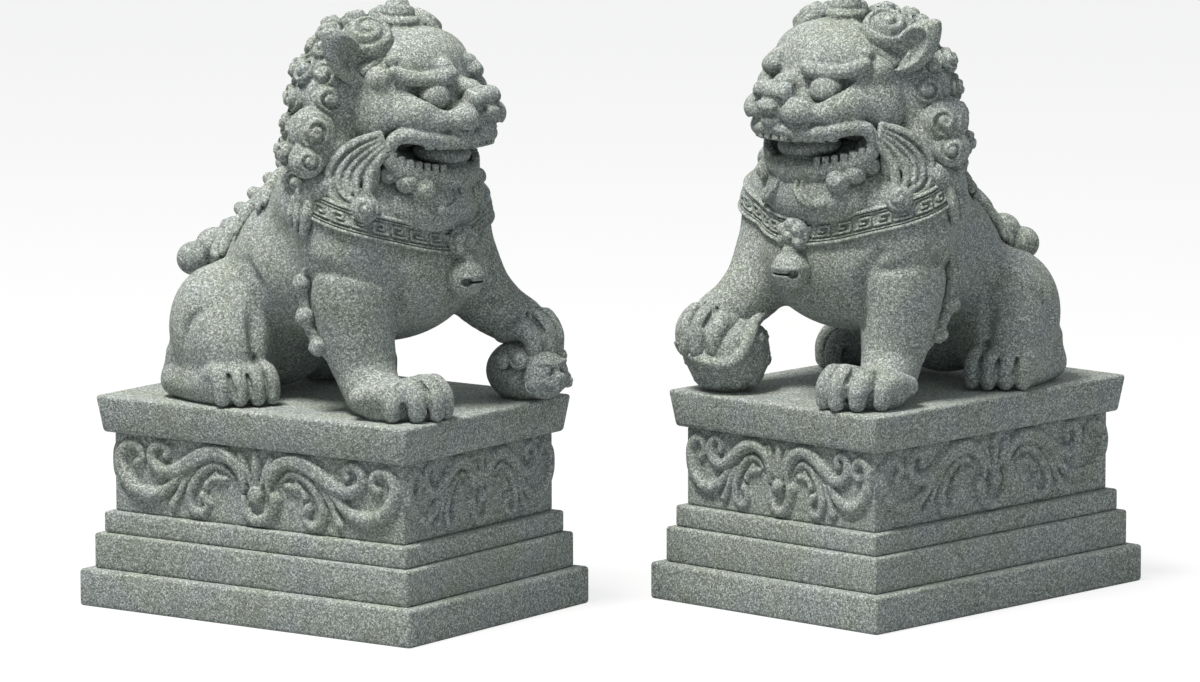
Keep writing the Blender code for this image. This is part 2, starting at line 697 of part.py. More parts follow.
def ear(side, way, across):
    """A pointed ear that grows along "way" and opens forward."""
    root = SKULL.skin(side * 108.0, 26.0, lift=-0.3 * EAR_THICKNESS)
    way = Vector(way).normalized()
    return [Limb([(root, EAR_HALF_WIDTH, EAR_THICKNESS),
                  (root + way * 0.5 * EAR_LENGTH, 0.82 * EAR_HALF_WIDTH, EAR_THICKNESS),
                  (root + way * EAR_LENGTH, 0.14 * EAR_HALF_WIDTH, 0.4 * EAR_THICKNESS)],
                 across=across)]


def cheek_locks(side):
    """A fan of strands from the corner of the mouth that ends in a rolled tip."""
    corner = JAW.skin(side * 78.0, 30.0)

    def spot(x, y, z):
        return corner + Vector((x, side * y, z)) * LOCK_RADIUS

    def strand(points):
        return Limb([(spot(x, y, z), LOCK_RADIUS * girth, LOCK_RADIUS * girth)
                     for x, y, z, girth in points], across=(0.3, 1.0, 0.3), sides=4)

    web = Ball(spot(-6.0, 5.2, -0.2), Vector((2.7, 1.7, 3.0)) * LOCK_RADIUS, segments=6, rings=4)
    back = strand(((-3.7, 4.2, 3.3, 0.8), (-6.2, 5.2, 2.0, 1.0), (-8.3, 5.8, -0.7, 1.1),
                   (-7.7, 6.0, -3.0, 1.1), (-5.0, 5.5, -3.7, 1.0)))
    front = strand(((-3.3, 4.2, 2.7, 0.75), (-4.2, 4.7, 0.0, 0.9), (-4.0, 4.8, -2.7, 0.9)))
    return [web, back, front, Bead(spot(-4.4, 4.8, -4.2), 1.4 * LOCK_RADIUS)]


def beard():
    """Bead curls below the jaw on both sides and two hooked locks under the chin."""
    throat = Ball(JAW.center - Vector((0.25 * JAW_LENGTH, 0.0, 0.8 * JAW_HALF_HEIGHT)),
                  (JAW_LENGTH, 1.28 * JAW_HALF_WIDTH, 1.4 * JAW_HALF_HEIGHT), rings=4)

    def spot(side, x, y, z):
        return JAW.center + Vector((x, side * y, z)) * BEAD_RADIUS

    shapes = [throat]
    for side in (-1, 1):
        for x, y, z in ((-1.8, 5.7, -0.1), (-0.5, 5.7, -0.4), (0.65, 4.9, -1.0)):
            shapes.append(Bead(spot(side, x, y, z), BEAD_RADIUS))
        hook = ((1.2, 1.2, -1.5, 0.7), (1.6, 2.2, -2.4, 0.6), (0.9, 3.3, -3.1, 0.8))
        shapes.append(Limb([(spot(side, x, y, z), BEAD_RADIUS * size, BEAD_RADIUS * size)
                            for x, y, z, size in hook], across=(1.0, 0.0, 0.0), sides=4))
    return shapes


# Ornaments


def collar_path(count, arc):
    """Points round the chest with the collar's outward and upward directions."""
    path = []
    middle = CHEST.center.x
    long, wide = CHEST_LENGTH + 1.1 * COLLAR_ROOT, CHEST_HALF_WIDTH + 1.1 * COLLAR_ROOT
    rise = 0.42 * long
    for i in range(count):
        t = math.radians(arc) * (2.0 * i / (count - 1) - 1.0)
        outward = Vector((math.cos(t) / long, math.sin(t) / wide, 0.0)).normalized()
        outward = (outward + Vector((0.0, 0.0, 0.22))).normalized()
        ahead = Vector((-long * math.sin(t), wide * math.cos(t), rise * math.sin(t))).normalized()
        height = CHEST_HEIGHT + COLLAR_RISE + rise * (1.0 - math.cos(t))
        spot = at(middle + long * math.cos(t), wide * math.sin(t), height)
        path.append((spot, outward, outward.cross(ahead).normalized()))
    return path


def collar():
    path = collar_path(8, 84.0)
    front = collar_path(3, 30.0)[1][0]
    rosette = Ball(front, (0.5 * ROSETTE_RADIUS, ROSETTE_RADIUS, ROSETTE_RADIUS), (0.0, -12.0, 0.0), 6, 4)
    return [Band(path, COLLAR_BAND, COLLAR_PROUD, COLLAR_BORDER, COLLAR_ROOT), rosette]


def bell():
    """A round jingle bell hung from the rosette."""
    front = collar_path(3, 30.0)[1][0]
    center = front - Vector((0.2 * BELL_RADIUS, 0.0, 0.85 * ROSETTE_RADIUS + BELL_RADIUS))
    return [Ball(center, BELL_RADIUS, segments=9, rings=6),
            Ball(center + Vector((0.0, 0.0, 0.95 * BELL_RADIUS)), 0.36 * BELL_RADIUS, segments=5, rings=3)]


def tassel(side):
    """A knob behind the shoulder with three strands hanging from it."""
    knob = NECK.skin(side * 98.0, 20.0)
    shapes = [Ball(knob, TASSEL_RADIUS, segments=7, rings=4)]
    for lean in (-12.0, 0.0, 12.0):
        tip = NECK.skin(side * (100.0 + lean), -14.0, lift=0.3 * TASSEL_STRAND_RADIUS)
        shapes.append(Limb([(knob.lerp(tip, 0.2), TASSEL_STRAND_RADIUS, TASSEL_STRAND_RADIUS),
                            (tip, 0.85 * TASSEL_STRAND_RADIUS, 0.85 * TASSEL_STRAND_RADIUS)],
                           across=(1.0, 0.0, 0.0), sides=4))
    return shapes


def elbow_fringe(side):
    """Three round knobs on a narrow fringe down the back of the foreleg."""
    top = shoulder(side).center
    spots = [top + Vector((-0.82 * FOREARM_RADIUS, side * 0.70 * FOREARM_RADIUS, z)) for z in
             (-0.75 * SHOULDER_RADIUS, -1.4 * SHOULDER_RADIUS, -1.95 * SHOULDER_RADIUS)]
    shapes = [Bead(spot, FRINGE_KNOB_RADIUS) for spot in spots]
    inward = Vector((0.4, -0.4 * side, 0.0)) * FRINGE_KNOB_RADIUS
    shapes.append(Limb([(spot + inward, 0.8 * FRINGE_KNOB_RADIUS, 0.8 * FRINGE_KNOB_RADIUS)
                        for spot in spots], across=(1.0, 0.0, 0.0), sides=4))
    return shapes


def spine_ridge():
    """Flame-shaped lobes in a row down the back, on a common root."""
    roots = [NECK.skin(180.0, 16.0), LOIN.skin(180.0, 78.0), LOIN.skin(180.0, 58.0), RUMP.skin(180.0, 74.0),
             RUMP.skin(180.0, 50.0)]
    shapes = [Limb([(root, 1.2 * FLAME_RADIUS, 0.8 * FLAME_RADIUS) for root in roots], sides=5)]
    for root in roots:
        tip = root + Vector((-0.6, 0.0, 0.8)) * FLAME_RADIUS
        shapes.append(Limb([(root, FLAME_RADIUS, 0.9 * FLAME_RADIUS),
                            (tip, 0.6 * FLAME_RADIUS, 0.55 * FLAME_RADIUS)], sides=4))
    return shapes


def tail():
    """A short tail of rounded lobes, swept over the rump to the near side."""
    root = RUMP.skin(180.0, 30.0)
    lobes = ((0.0, 0.15, 0.0, 1.0), (-0.6, -0.76, 0.6, 0.95), (-1.36, -1.67, -0.15, 0.85),
             (-0.3, 1.2, 0.3, 0.85))
    return [Bead(root + Vector((x, y, z)) * TAIL_LOBE_RADIUS, TAIL_LOBE_RADIUS * size)
            for x, y, z, size in lobes]


# What lies under the raised paw


def ball():
    """The lion's ball, with a ribbon that sweeps round it and curls up at the end."""
    sphere = Ball(at(BALL_REACH, BALL_SPREAD, 0.915 * BALL_RADIUS), BALL_RADIUS, segments=11, rings=7)
    sweep = ((48.0, 24.0, 1.3), (12.0, 10.0, 0.16), (-28.0, -8.0, 0.16), (-68.0, -2.0, 0.16),
             (-104.0, 24.0, 0.3), (-124.0, 52.0, 1.15))
    stations = [(sphere.skin(azimuth, elevation, lift=lift * RIBBON_PROUD), 0.5 * RIBBON_WIDTH,
                 RIBBON_PROUD) for azimuth, elevation, lift in sweep]
    return [sphere, Limb(stations, across=(0.0, 0.0, 1.0), sides=4)]


def cub():
    """The lioness's cub, curled on its back under her paw with its face forward."""
    body = at(BALL_REACH, BALL_SPREAD, 0.0) + Vector((-0.07, -0.07, 0.66)) * BALL_RADIUS
    face = Ball(body + Vector((0.42, 0.1, -0.12)) * BALL_RADIUS,
                Vector((1.0, 1.3, 0.95)) * CUB_HEAD_RADIUS, segments=8, rings=5)
    snout = Ball(face.skin(0.0, -12.0, lift=-0.17 * CUB_HEAD_RADIUS),
                 Vector((0.45, 0.62, 0.4)) * CUB_HEAD_RADIUS, segments=6, rings=4)
    shapes = [Ball(body, Vector((0.95, 0.98, 0.92)) * BALL_RADIUS, segments=9, rings=6), face, snout]
    for side in (-1, 1):
        shapes.append(Bead(face.skin(side * 72.0, 30.0), 0.36 * CUB_HEAD_RADIUS))
        shapes.append(Bead(face.skin(side * 30.0, 24.0), 0.26 * CUB_HEAD_RADIUS))
    return shapes


# Assembly


def animal(companion_name, companion):
    """The pieces of one animal, largest first: each is cut back to those before it."""
    pieces = {"torso": torso(), "near_haunch": haunch(-1), "far_haunch": haunch(1),
              "standing_foreleg": standing_foreleg(), companion_name: companion(),
              "raised_foreleg": raised_foreleg(), "collar": collar(),
              "head": turned(head()), "lower_jaw": turned(lower_jaw()), "mane": turned(mane()),
              "spine_ridge": spine_ridge(), "tail": tail(), "bell": bell(), "beard": turned(beard())}

    # The near ear stands out and the far one lies back along the mane
    pieces["near_ear"] = turned(ear(-1, (-0.1, -0.78, 0.62), (0.36, -0.62, -0.70)))
    pieces["far_ear"] = turned(ear(1, (-0.74, 0.60, 0.30), (0.30, 0.60, -0.74)))
    for side, hand in ((-1, "near"), (1, "far")):
        pieces[hand + "_cheek_locks"] = turned(cheek_locks(side))
        pieces[hand + "_tassel"] = tassel(side)
        pieces[hand + "_elbow_fringe"] = elbow_fringe(side)
    return pieces


def make_statue(prefix, companion_name, companion, mirrored, stand):
    """Build one statue in its own frame and hang every piece on the statue's empty."""
    near, far = ("left", "right") if mirrored else ("right", "left")
    number = 0
    for name, shapes in pedestal().items():
        obj = fuse(f"{prefix}_{name}", shapes)
        if len(shapes) > 1:
            thin_out(obj)
        finish(obj, shapes[0].center, mirrored, stand, number)
        number += 1
    seats = seats_of(pedestal()["cap_slab"])
    for name, shapes in animal(companion_name, companion).items():
        plain = name.replace("near_", near + "_").replace("far_", far + "_")
        obj = fuse(f"{prefix}_{plain}", shapes)
        combine(obj, [seat for seat in seats if boxes_meet(obj, seat)], "DIFFERENCE")
        clear_chips(obj)
        if len(shapes) > 1:
            thin_out(obj)
        seats += seats_of(shapes)
        finish(obj, shapes[0].center, mirrored, stand, number)
        number += 1
    drop(seats)


def finish(obj, center, mirrored, stand, number):
    """Move the origin to the piece's own centre, mirror if needed, shade and parent it."""
    place = center.copy()
    obj.data.transform(Matrix.Translation(-center))
    if mirrored:
        obj.data.transform(Matrix.Diagonal((1.0, -1.0, 1.0, 1.0)))
        obj.data.flip_normals()
        place.y = -place.y
    obj.location = place
    obj.parent = stand
    obj.data.materials.clear()
    obj.data.materials.append(stone(obj.name, 1.0 + 0.04 * math.sin(1.7 * number)))
    obj.data.shade_smooth()
    obj.data.set_sharp_from_angle(angle=math.radians(38.0))


def plan_reach(heading):
    """Half extents in plan of a foot slab turned by its heading."""
    c, s = abs(math.cos(heading)), abs(math.sin(heading))
    return (FOOT_LENGTH * c + FOOT_WIDTH * s) / 2, (FOOT_LENGTH * s + FOOT_WIDTH * c) / 2


def stand_for(name, x, y, heading):
    stand = bpy.data.objects.new(name, None)
    bpy.context.scene.collection.objects.link(stand)
    stand.location = (x, y, 0.0)
    stand.rotation_euler = (0.0, 0.0, heading)
    return stand


def main():
    for obj in list(bpy.data.objects):
        bpy.data.objects.remove(obj)

    # The origin is the centre of the pair's bounding box, on the floor
    lioness_x, lioness_y = plan_reach(LIONESS_HEADING)
    lion_x, lion_y = plan_reach(LION_HEADING)
    shift_x = (lioness_x - lion_x) / 2
    low = min(-PAIR_STAGGER / 2 - lioness_y, PAIR_STAGGER / 2 - lion_y)
    high = max(-PAIR_STAGGER / 2 + lioness_y, PAIR_STAGGER / 2 + lion_y)
    shift_y = -(low + high) / 2
    lioness = stand_for("lioness_stand", shift_x - PAIR_SPACING / 2, shift_y - PAIR_STAGGER / 2,
                        LIONESS_HEADING)
    lion = stand_for("lion_stand", shift_x + PAIR_SPACING / 2, shift_y + PAIR_STAGGER / 2, LION_HEADING)
    make_statue("lioness", "cub", cub, False, lioness)
    make_statue("lion", "ball", ball, True, lion)


main()
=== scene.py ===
"""A pair of cast-stone guardian lions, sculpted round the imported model.

Each piece of the animals is modelled as a block of clay: a grid of signed distances in
which forms are laid and carved, and which is then turned into a mesh. The lion is the
lioness mirrored, with a ball in place of the cub. Sculpting is done in millimetres in
the animal's own frame: +X forward, -Y the side that the pair shows, and heights from
the top of the pedestal.
"""
import math

import bpy
import numpy as np
import openvdb
from mathutils import Matrix, Vector


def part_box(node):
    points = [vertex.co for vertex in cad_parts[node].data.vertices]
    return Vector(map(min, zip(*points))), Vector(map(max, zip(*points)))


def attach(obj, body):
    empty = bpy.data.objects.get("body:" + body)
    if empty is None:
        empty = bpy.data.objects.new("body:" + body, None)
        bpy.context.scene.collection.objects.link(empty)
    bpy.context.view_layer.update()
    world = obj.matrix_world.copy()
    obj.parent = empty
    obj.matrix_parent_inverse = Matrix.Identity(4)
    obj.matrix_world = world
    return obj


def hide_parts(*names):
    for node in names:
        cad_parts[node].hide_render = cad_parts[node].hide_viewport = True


bl_info = {
    "name": "Guardian Lion Pair",
    "version": (1, 0, 0),
    "blender": (4, 5, 0),
    "location": "3D View > Sidebar > Lions",
    "description": "Two cast-stone guardian lions on carved pedestals",
    "category": "Object",
}

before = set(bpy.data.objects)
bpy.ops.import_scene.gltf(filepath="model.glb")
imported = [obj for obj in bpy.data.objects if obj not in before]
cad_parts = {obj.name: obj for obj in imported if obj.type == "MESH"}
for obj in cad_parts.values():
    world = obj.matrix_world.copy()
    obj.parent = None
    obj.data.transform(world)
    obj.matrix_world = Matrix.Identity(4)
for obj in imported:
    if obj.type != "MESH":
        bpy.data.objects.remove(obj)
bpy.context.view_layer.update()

MM = 0.001
MIRROR = np.array((1.0, -1.0, 1.0))

# Distance where no form is near, how far past its blend a form is measured, and the band that is
# meshed, in steps of the grid
FAR = 9.0
MARGIN = 1.5
BAND = 3.0

HEADINGS = {"lioness": math.radians(-35.2), "lion": math.radians(-133.1)}
STATUES = tuple(HEADINGS)
CAP_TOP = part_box("lioness_cap_slab")[1].z / MM

# The head is turned a little away from the side that the pair shows, about this place on the X axis
HEAD_TURN = math.radians(9.5)
HEAD_PIVOT = 40.0

# Joint left between the solids; each course of a pedestal closes half of it at its top and bottom
JOINT = 0.3
# Edge radius and grid spacing of each course
COURSES = {"foot_slab": (1.3, 6.0), "lower_step": (1.0, 6.0), "upper_step": (1.0, 6.0),
           "frieze_block": (0.9, 0.5), "cap_slab": (1.3, 6.0)}
# Lean of the cap's sides; the frieze's ground, its kept share of faces and the height of its relief
CAP_FLARE = 1.8
FRIEZE_GROUND = (118.7, 82.2)
FRIEZE_KEEP = 0.35
FRIEZE_HEIGHT = 2.3

# The camera fitted to the photograph, and the lamps, in metres and radians
CAMERA_PLACE = (-0.0044, -2.3541, 0.4333)
CAMERA_TURN = (math.pi / 2 - 0.1467, 0.0017, 0.0)
CAMERA_LENS = 215.9
KEY_PLACE = (-0.42, -0.40, 1.5)
FILL_PLACE = (1.1, -1.1, 0.55)
LAMP_TARGET = (0.0, 0.0, 0.1)
FLOOR_REACH = 6.0

# Spacing of the stone's pits and the sizes of its roughness and of its clouds of tint
PIT_SPACING = 1.9
ROUGHNESS_SIZE = 0.9
CLOUD_SIZE = 14.0
# How far the painted shade in the hollows looks for nearby stone; then the height of the bumps
HOLLOW_REACH = 3.5
BUMP_HEIGHT = 0.35


# Clay


def vec(*values):
    """An array of numbers."""
    return np.array(values, np.float64)


def unit(v):
    """The vector with length 1."""
    v = np.asarray(v, np.float64)
    return v / np.linalg.norm(v)


def axes_from(turn):
    """Rows are the local axes after turns about X, Y and then Z, in degrees."""
    turned = Matrix.Identity(3)
    for axis, angle in zip("XYZ", turn):
        turned = Matrix.Rotation(math.radians(angle), 3, axis) @ turned
    return np.array(turned.transposed())


def basis(normal, hint=(0.0, 0.0, 1.0)):
    """Rows are two axes across a normal, then the normal."""
    n = unit(normal)
    u = np.cross(hint, n)
    if np.linalg.norm(u) < 1e-3:
        u = np.cross((1.0, 0.0, 0.0), n)
    u = unit(u)
    return np.array([u, np.cross(n, u), n])


def soft_min(a, b, blend):
    """The lesser of two distances, rounded where they are closer than the blend."""
    if blend <= 0.0:
        return np.minimum(a, b)
    overlap = np.maximum(blend - np.abs(a - b), 0.0)
    return np.minimum(a, b) - overlap * overlap * np.float32(0.25 / blend)


class Lump:
    """An ellipsoid."""

    def __init__(self, center, radii, turn=None, axes=None):
        self.center = vec(*center)
        self.radii = vec(*radii) if hasattr(radii, "__len__") else np.full(3, float(radii))
        self.axes = np.asarray(axes) if axes is not None else (axes_from(turn) if turn else None)
        reach = self.radii
        if self.axes is not None:
            reach = np.sqrt(((self.axes * self.radii[:, None]) ** 2).sum(0))
        self.parts = [(self.center - reach, self.center + reach, self.distance)]

    def mirrored(self):
        other = Lump(self.center * MIRROR, self.radii)
        if self.axes is not None:
            other = Lump(other.center, self.radii, axes=self.axes * MIRROR)
        return other

    def local(self, x, y, z):
        x, y, z = x - self.center[0], y - self.center[1], z - self.center[2]
        if self.axes is None:
            return x, y, z
        return tuple(x * row[0] + y * row[1] + z * row[2] for row in self.axes.astype(np.float32))

    def distance(self, x, y, z):
        a, b, c = (p / r for p, r in zip(self.local(x, y, z), self.radii.astype(np.float32)))
        k0 = np.sqrt(a * a + b * b + c * c)
        ra, rb, rc = self.radii.astype(np.float32)
        k1 = np.sqrt((a / ra) ** 2 + (b / rb) ** 2 + (c / rc) ** 2)
        return k0 * (k0 - 1.0) / np.maximum(k1, 1e-4)


class Curl(Lump):
    """A domed boss with a rope of hair wound into it."""

    def __init__(self, center, normal, radius, height=None, turns=2.0, hand=1, spin=0.0, depth=None,
                 hint=(0, 0, 1)):
        height = height or 0.75 * radius
        super().__init__(center, (radius, radius, height), axes=basis(normal, hint))
        self.normal, self.hint = normal, hint
        self.radius, self.height = radius, height
        self.turns, self.hand, self.spin = turns, hand, spin
        self.depth = depth or 0.28 * radius

    def mirrored(self):
        return Curl(self.center * MIRROR, unit(self.normal) * MIRROR, self.radius, self.height, self.turns,
                    -self.hand, self.spin, self.depth, self.hint)

    def distance(self, x, y, z):
        u, v, _ = self.local(x, y, z)
        dome = super().distance(x, y, z)
        r = np.sqrt(u * u + v * v)
        pitch = self.radius / self.turns
        wind = r / pitch - self.hand * np.arctan2(v, u) / (2.0 * math.pi) + self.spin
        groove = (0.5 - 0.5 * np.cos(2.0 * math.pi * wind)) ** 1.6
        inner, outer = r / (0.8 * pitch), (1.08 * self.radius - r) / (0.3 * self.radius)
        fade = np.clip(inner, 0.0, 1.0) * np.clip(outer, 0.0, 1.0)
        return dome + self.depth * groove * fade


class Rope:
    """A round strand through points, with a radius at each."""

    def __init__(self, points, radii, steps=4):
        points = np.array([np.asarray(p, float) for p in points])
        radii = np.array(radii, float) if hasattr(radii, "__len__") else np.full(len(points), float(radii))
        self.points, self.radii = smooth_path(points, radii, steps) if steps > 1 else (points, radii)
        self.parts = []
        for i in range(len(self.points) - 1):
            a, b = self.points[i], self.points[i + 1]
            reach = max(self.radii[i], self.radii[i + 1])
            self.parts.append((np.minimum(a, b) - reach, np.maximum(a, b) + reach,
                               lambda x, y, z, i=i: self.segment(i, x, y, z)))

    def mirrored(self):
        return Rope(self.points * MIRROR, self.radii, 1)

    def segment(self, i, x, y, z):
        a, b = self.points[i], self.points[i + 1]
        way = b - a
        length = max(float(way @ way), 1e-6)
        x, y, z = x - a[0], y - a[1], z - a[2]
        along = np.clip((x * way[0] + y * way[1] + z * way[2]) / length, 0.0, 1.0)
        x, y, z = x - along * way[0], y - along * way[1], z - along * way[2]
        radius = self.radii[i] + along * (self.radii[i + 1] - self.radii[i])
        return np.sqrt(x * x + y * y + z * z) - radius


class Block:
    """A box with rounded edges."""

    def __init__(self, center, halves, edge=0.3, turn=None, axes=None):
        self.center = vec(*center)
        self.halves = vec(*halves)
        self.edge = edge
        self.axes = np.asarray(axes) if axes is not None else axes_from(turn or (0.0, 0.0, 0.0))
        reach = np.abs(self.axes * self.halves[:, None]).sum(0)
        self.parts = [(self.center - reach, self.center + reach, self.distance)]

    def mirrored(self):
        return Block(self.center * MIRROR, self.halves, self.edge, axes=self.axes * MIRROR)

    def distance(self, x, y, z):
        x, y, z = x - self.center[0], y - self.center[1], z - self.center[2]
        over = [np.abs(x * row[0] + y * row[1] + z * row[2]) - (half - self.edge)
                for row, half in zip(self.axes, self.halves)]
        outside = np.sqrt(sum(np.maximum(o, 0.0) ** 2 for o in over))
        inside = np.minimum(np.maximum(np.maximum(over[0], over[1]), over[2]), 0.0)
        return outside + inside - self.edge


def smooth_path(points, radii, steps):
    """A rounded path through the points, with the radii eased along it."""
    padded = np.vstack([2 * points[0] - points[1], points, 2 * points[-1] - points[-2]])
    out, sizes = [], []
    for i in range(len(points) - 1):
        a, b, c, d = padded[i:i + 4]
        for k in range(steps):
            t = k / steps
            out.append(0.5 * (2 * b + (c - a) * t + (2 * a - 5 * b + 4 * c - d) * t * t
                              + (3 * b - a - 3 * c + d) * t ** 3))
            sizes.append(radii[i] + (radii[i + 1] - radii[i]) * t)
    out.append(points[-1])
    sizes.append(radii[-1])
    return np.array(out), np.array(sizes)


def lengths_along(points):
    """The length of a path from its start to each of its points."""
    return np.concatenate([[0.0], np.cumsum(np.linalg.norm(np.diff(points, axis=0), axis=1))])


class Clay:
    """A block of clay: signed distances on a grid, negative inside."""

    def __init__(self, low, high, step):
        self.low = vec(*low)
        self.step = step
        self.count = np.ceil((vec(*high) - self.low) / step).astype(int) + 1
        self.field = np.full(self.count, FAR, np.float32)

    def window(self, low, high):
        first = np.clip(np.floor((low - self.low) / self.step).astype(int), 0, self.count)
        last = np.clip(np.ceil((high - self.low) / self.step).astype(int) + 1, 0, self.count)
        return [slice(a, b) for a, b in zip(first, last)]

    def rows(self, place):
        rows = []
        for k in range(3):
            row = self.low[k] + self.step * np.arange(place[k].start, place[k].stop)
            rows.append(row.reshape([-1 if i == k else 1 for i in range(3)]).astype(np.float32))
        return rows

    def measure(self, form, reach):
        low = np.min([part[0] for part in form.parts], axis=0) - reach
        high = np.max([part[1] for part in form.parts], axis=0) + reach
        place = self.window(low, high)
        distance = np.full([s.stop - s.start for s in place], FAR, np.float32)
        for part_low, part_high, function in form.parts:
            inner = self.window(part_low - reach, part_high + reach)
            if any(s.stop <= s.start for s in inner):
                continue
            offset = tuple(slice(s.start - p.start, s.stop - p.start) for s, p in zip(inner, place))
            distance[offset] = np.minimum(distance[offset], function(*self.rows(inner)))
        return tuple(place), distance

    def lay(self, *forms, blend=0.6, sign=1.0):
        """Join the forms to the clay, or cut them out of it where the sign is -1."""
        for form in forms:
            place, distance = self.measure(form, blend + MARGIN)
            if distance.size:
                self.field[place] = sign * soft_min(sign * self.field[place], distance, blend)

    def carve(self, *forms, blend=0.6):
        self.lay(*forms, blend=blend, sign=-1.0)

    def both(self, *forms, blend=0.6, carve=False):
        """Lay or carve the forms on the near side and mirrored on the far side."""
        for form in forms:
            self.lay(form, form.mirrored(), blend=blend, sign=-1.0 if carve else 1.0)

    def depths(self, points):
        """The distances at the points, between the grid's samples."""
        spots = np.clip((points - self.low) / self.step, 0, self.count - 1.001)
        first = spots.astype(int)
        share = spots - first
        total = np.zeros(len(points))
        for corner in ((a, b, c) for a in (0, 1) for b in (0, 1) for c in (0, 1)):
            i, j, k = (first + corner).T
            total += self.field[i, j, k] * np.prod(np.where(corner, share, 1.0 - share), axis=1)
        return total

    def depth(self, point):
        return float(self.depths(np.asarray(point, float)[None])[0])

    def slope(self, point):
        """The outward way at a point."""
        ways = 1.5 * self.step * np.eye(3)
        return unit(self.depths(point + ways) - self.depths(point - ways))

    def onto(self, point, lift=0.0, tries=6, stride=3.0, near_enough=0.02):
        """The point moved to the given height above the surface."""
        point = vec(*point)
        for _ in range(tries):
            gap = self.depth(point) - lift
            point = point - self.slope(point) * max(min(gap, stride), -stride)
            if abs(gap) < near_enough:
                break
        return point

    def skin(self, origin, way, reach=80.0):
        """Where a ray from inside leaves the clay for the last time."""
        spots = vec(*origin) + np.outer(np.arange(0.0, reach, 0.5 * self.step), unit(way))
        outside = np.any((spots < self.low) | (spots > self.low + self.step * (self.count - 1)), axis=1)
        spots = spots[:np.argmax(outside) if outside.any() else len(spots)]
        inside = np.nonzero(self.depths(spots) < 0.0)[0]
        return spots[inside[-1]] if len(inside) else vec(*origin)

    def mesh(self):
        """Points in millimetres and outward-facing quads."""
        grid = openvdb.FloatGrid(BAND)
        grid.copyFromArray(np.clip(self.field / self.step, -BAND, BAND))
        points, _, quads = grid.convertToPolygons(isovalue=0.0, adaptivity=0.0)
        points = points.astype(np.float64) * self.step + self.low
        a, b, c, d = (points[quads[:, k]] for k in range(4))
        if np.einsum("ij,ij->i", a + b + c + d, np.cross(c - a, d - b)).sum() < 0.0:
            quads = quads[:, ::-1]
        return points, quads


# Meshes and pieces


def mesh_object(name, points, faces, mirrored):
    """An object whose mesh is given in millimetres in the animal's frame."""
    points = np.array(points, np.float64)
    if mirrored:
        points = points * MIRROR
        faces = faces[:, ::-1]
    points = points * MM
    mesh = bpy.data.meshes.new(name)
    mesh.vertices.add(len(points))
    mesh.vertices.foreach_set("co", points.astype(np.float32).ravel())
    size = faces.shape[1]
    mesh.loops.add(faces.size)
    mesh.loops.foreach_set("vertex_index", faces.astype(np.int32).ravel())
    mesh.polygons.add(len(faces))
    mesh.polygons.foreach_set("loop_start", np.arange(0, faces.size, size, dtype=np.int32))
    mesh.update(calc_edges=True)
    mesh.validate()
    mesh.polygons.foreach_set("use_smooth", np.ones(len(mesh.polygons), bool))
    obj = bpy.data.objects.new(name, mesh)
    bpy.context.scene.collection.objects.link(obj)
    return obj


def arrays_of(obj):
    """An object's points in millimetres and its triangles."""
    mesh = obj.data
    points = np.zeros(len(mesh.vertices) * 3, np.float32)
    mesh.vertices.foreach_get("co", points)
    mesh.calc_loop_triangles()
    faces = np.zeros(len(mesh.loop_triangles) * 3, np.int32)
    mesh.loop_triangles.foreach_get("vertices", faces)
    return points.reshape(-1, 3) / MM, faces.reshape(-1, 3)


def thinned(points, faces, keep):
    """The mesh with flat areas in fewer triangles."""
    if keep >= 1.0:
        return points, faces
    obj = mesh_object("thinning", points, faces, False)
    modifier = obj.modifiers.new("Thin", "DECIMATE")
    modifier.ratio = keep
    graph = bpy.context.evaluated_depsgraph_get()
    mesh = bpy.data.meshes.new_from_object(obj.evaluated_get(graph))
    obj.modifiers.clear()
    obj.data = mesh
    result = arrays_of(obj)
    bpy.data.objects.remove(obj)
    return result


def stand_of(who):
    """The middle of a statue's foot slab."""
    low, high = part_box(who + "_foot_slab")
    return (low + high) / 2


def set_in_place(obj, who, nodes, lift):
    """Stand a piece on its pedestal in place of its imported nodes."""
    center = stand_of(who)
    obj.matrix_world = (Matrix.Translation((center.x, center.y, lift))
                        @ Matrix.Rotation(HEADINGS[who], 4, "Z"))
    obj.data.materials.append(stone_material())
    nodes = [f"{who}_{node}" for node in nodes]
    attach(obj, "root")
    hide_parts(*nodes)


def side_names(who, nodes, far=False):
    """Node names with near and far read as right and left."""
    near_name, far_name = ("right", "left") if who == "lioness" else ("left", "right")
    if far:
        near_name, far_name = far_name, near_name
    return [node.replace("near_", near_name + "_").replace("far_", far_name + "_") for node in nodes]


def head_turned(points):
    """The points turned with the head."""
    c, s = math.cos(HEAD_TURN), math.sin(HEAD_TURN)
    pivot = vec(HEAD_PIVOT, 0.0, 0.0)
    return (points - pivot) @ np.array([[c, s, 0.0], [-s, c, 0.0], [0.0, 0.0, 1.0]]) + pivot


def cast(title, points, faces, nodes, statues=STATUES, lift=None, paired=False, keep=0.5, turned=False):
    """Make the piece for each statue; a paired piece is made for both flanks too."""
    points, faces = thinned(points, faces, keep)
    lift = CAP_TOP * MM if lift is None else lift
    for far in ((False, True) if paired else (False,)):
        spots, sides = (points * MIRROR, faces[:, ::-1]) if far else (points, faces)
        if turned:
            spots = head_turned(spots)
        for who in statues:
            name = f"{who}_{side_names(who, [title], far)[0]}_carved"
            obj = mesh_object(name, spots, sides, who == "lion")
            set_in_place(obj, who, side_names(who, nodes, far), lift)


def sculpted(context, node, clay, **options):
    """Cast a node's clay with the share of faces that the panel asks for."""
    cast(node, *clay.mesh(), [node], keep=context.scene.lion_sculpt.keep, **options)


# Stone


def linear(hex_color):
    """The linear value of an sRGB hex colour."""
    channels = [int(hex_color[i:i + 2], 16) / 255 for i in (1, 3, 5)]
    return tuple(c / 12.92 if c <= 0.04045 else ((c + 0.055) / 1.055) ** 2.4 for c in channels) + (1.0,)


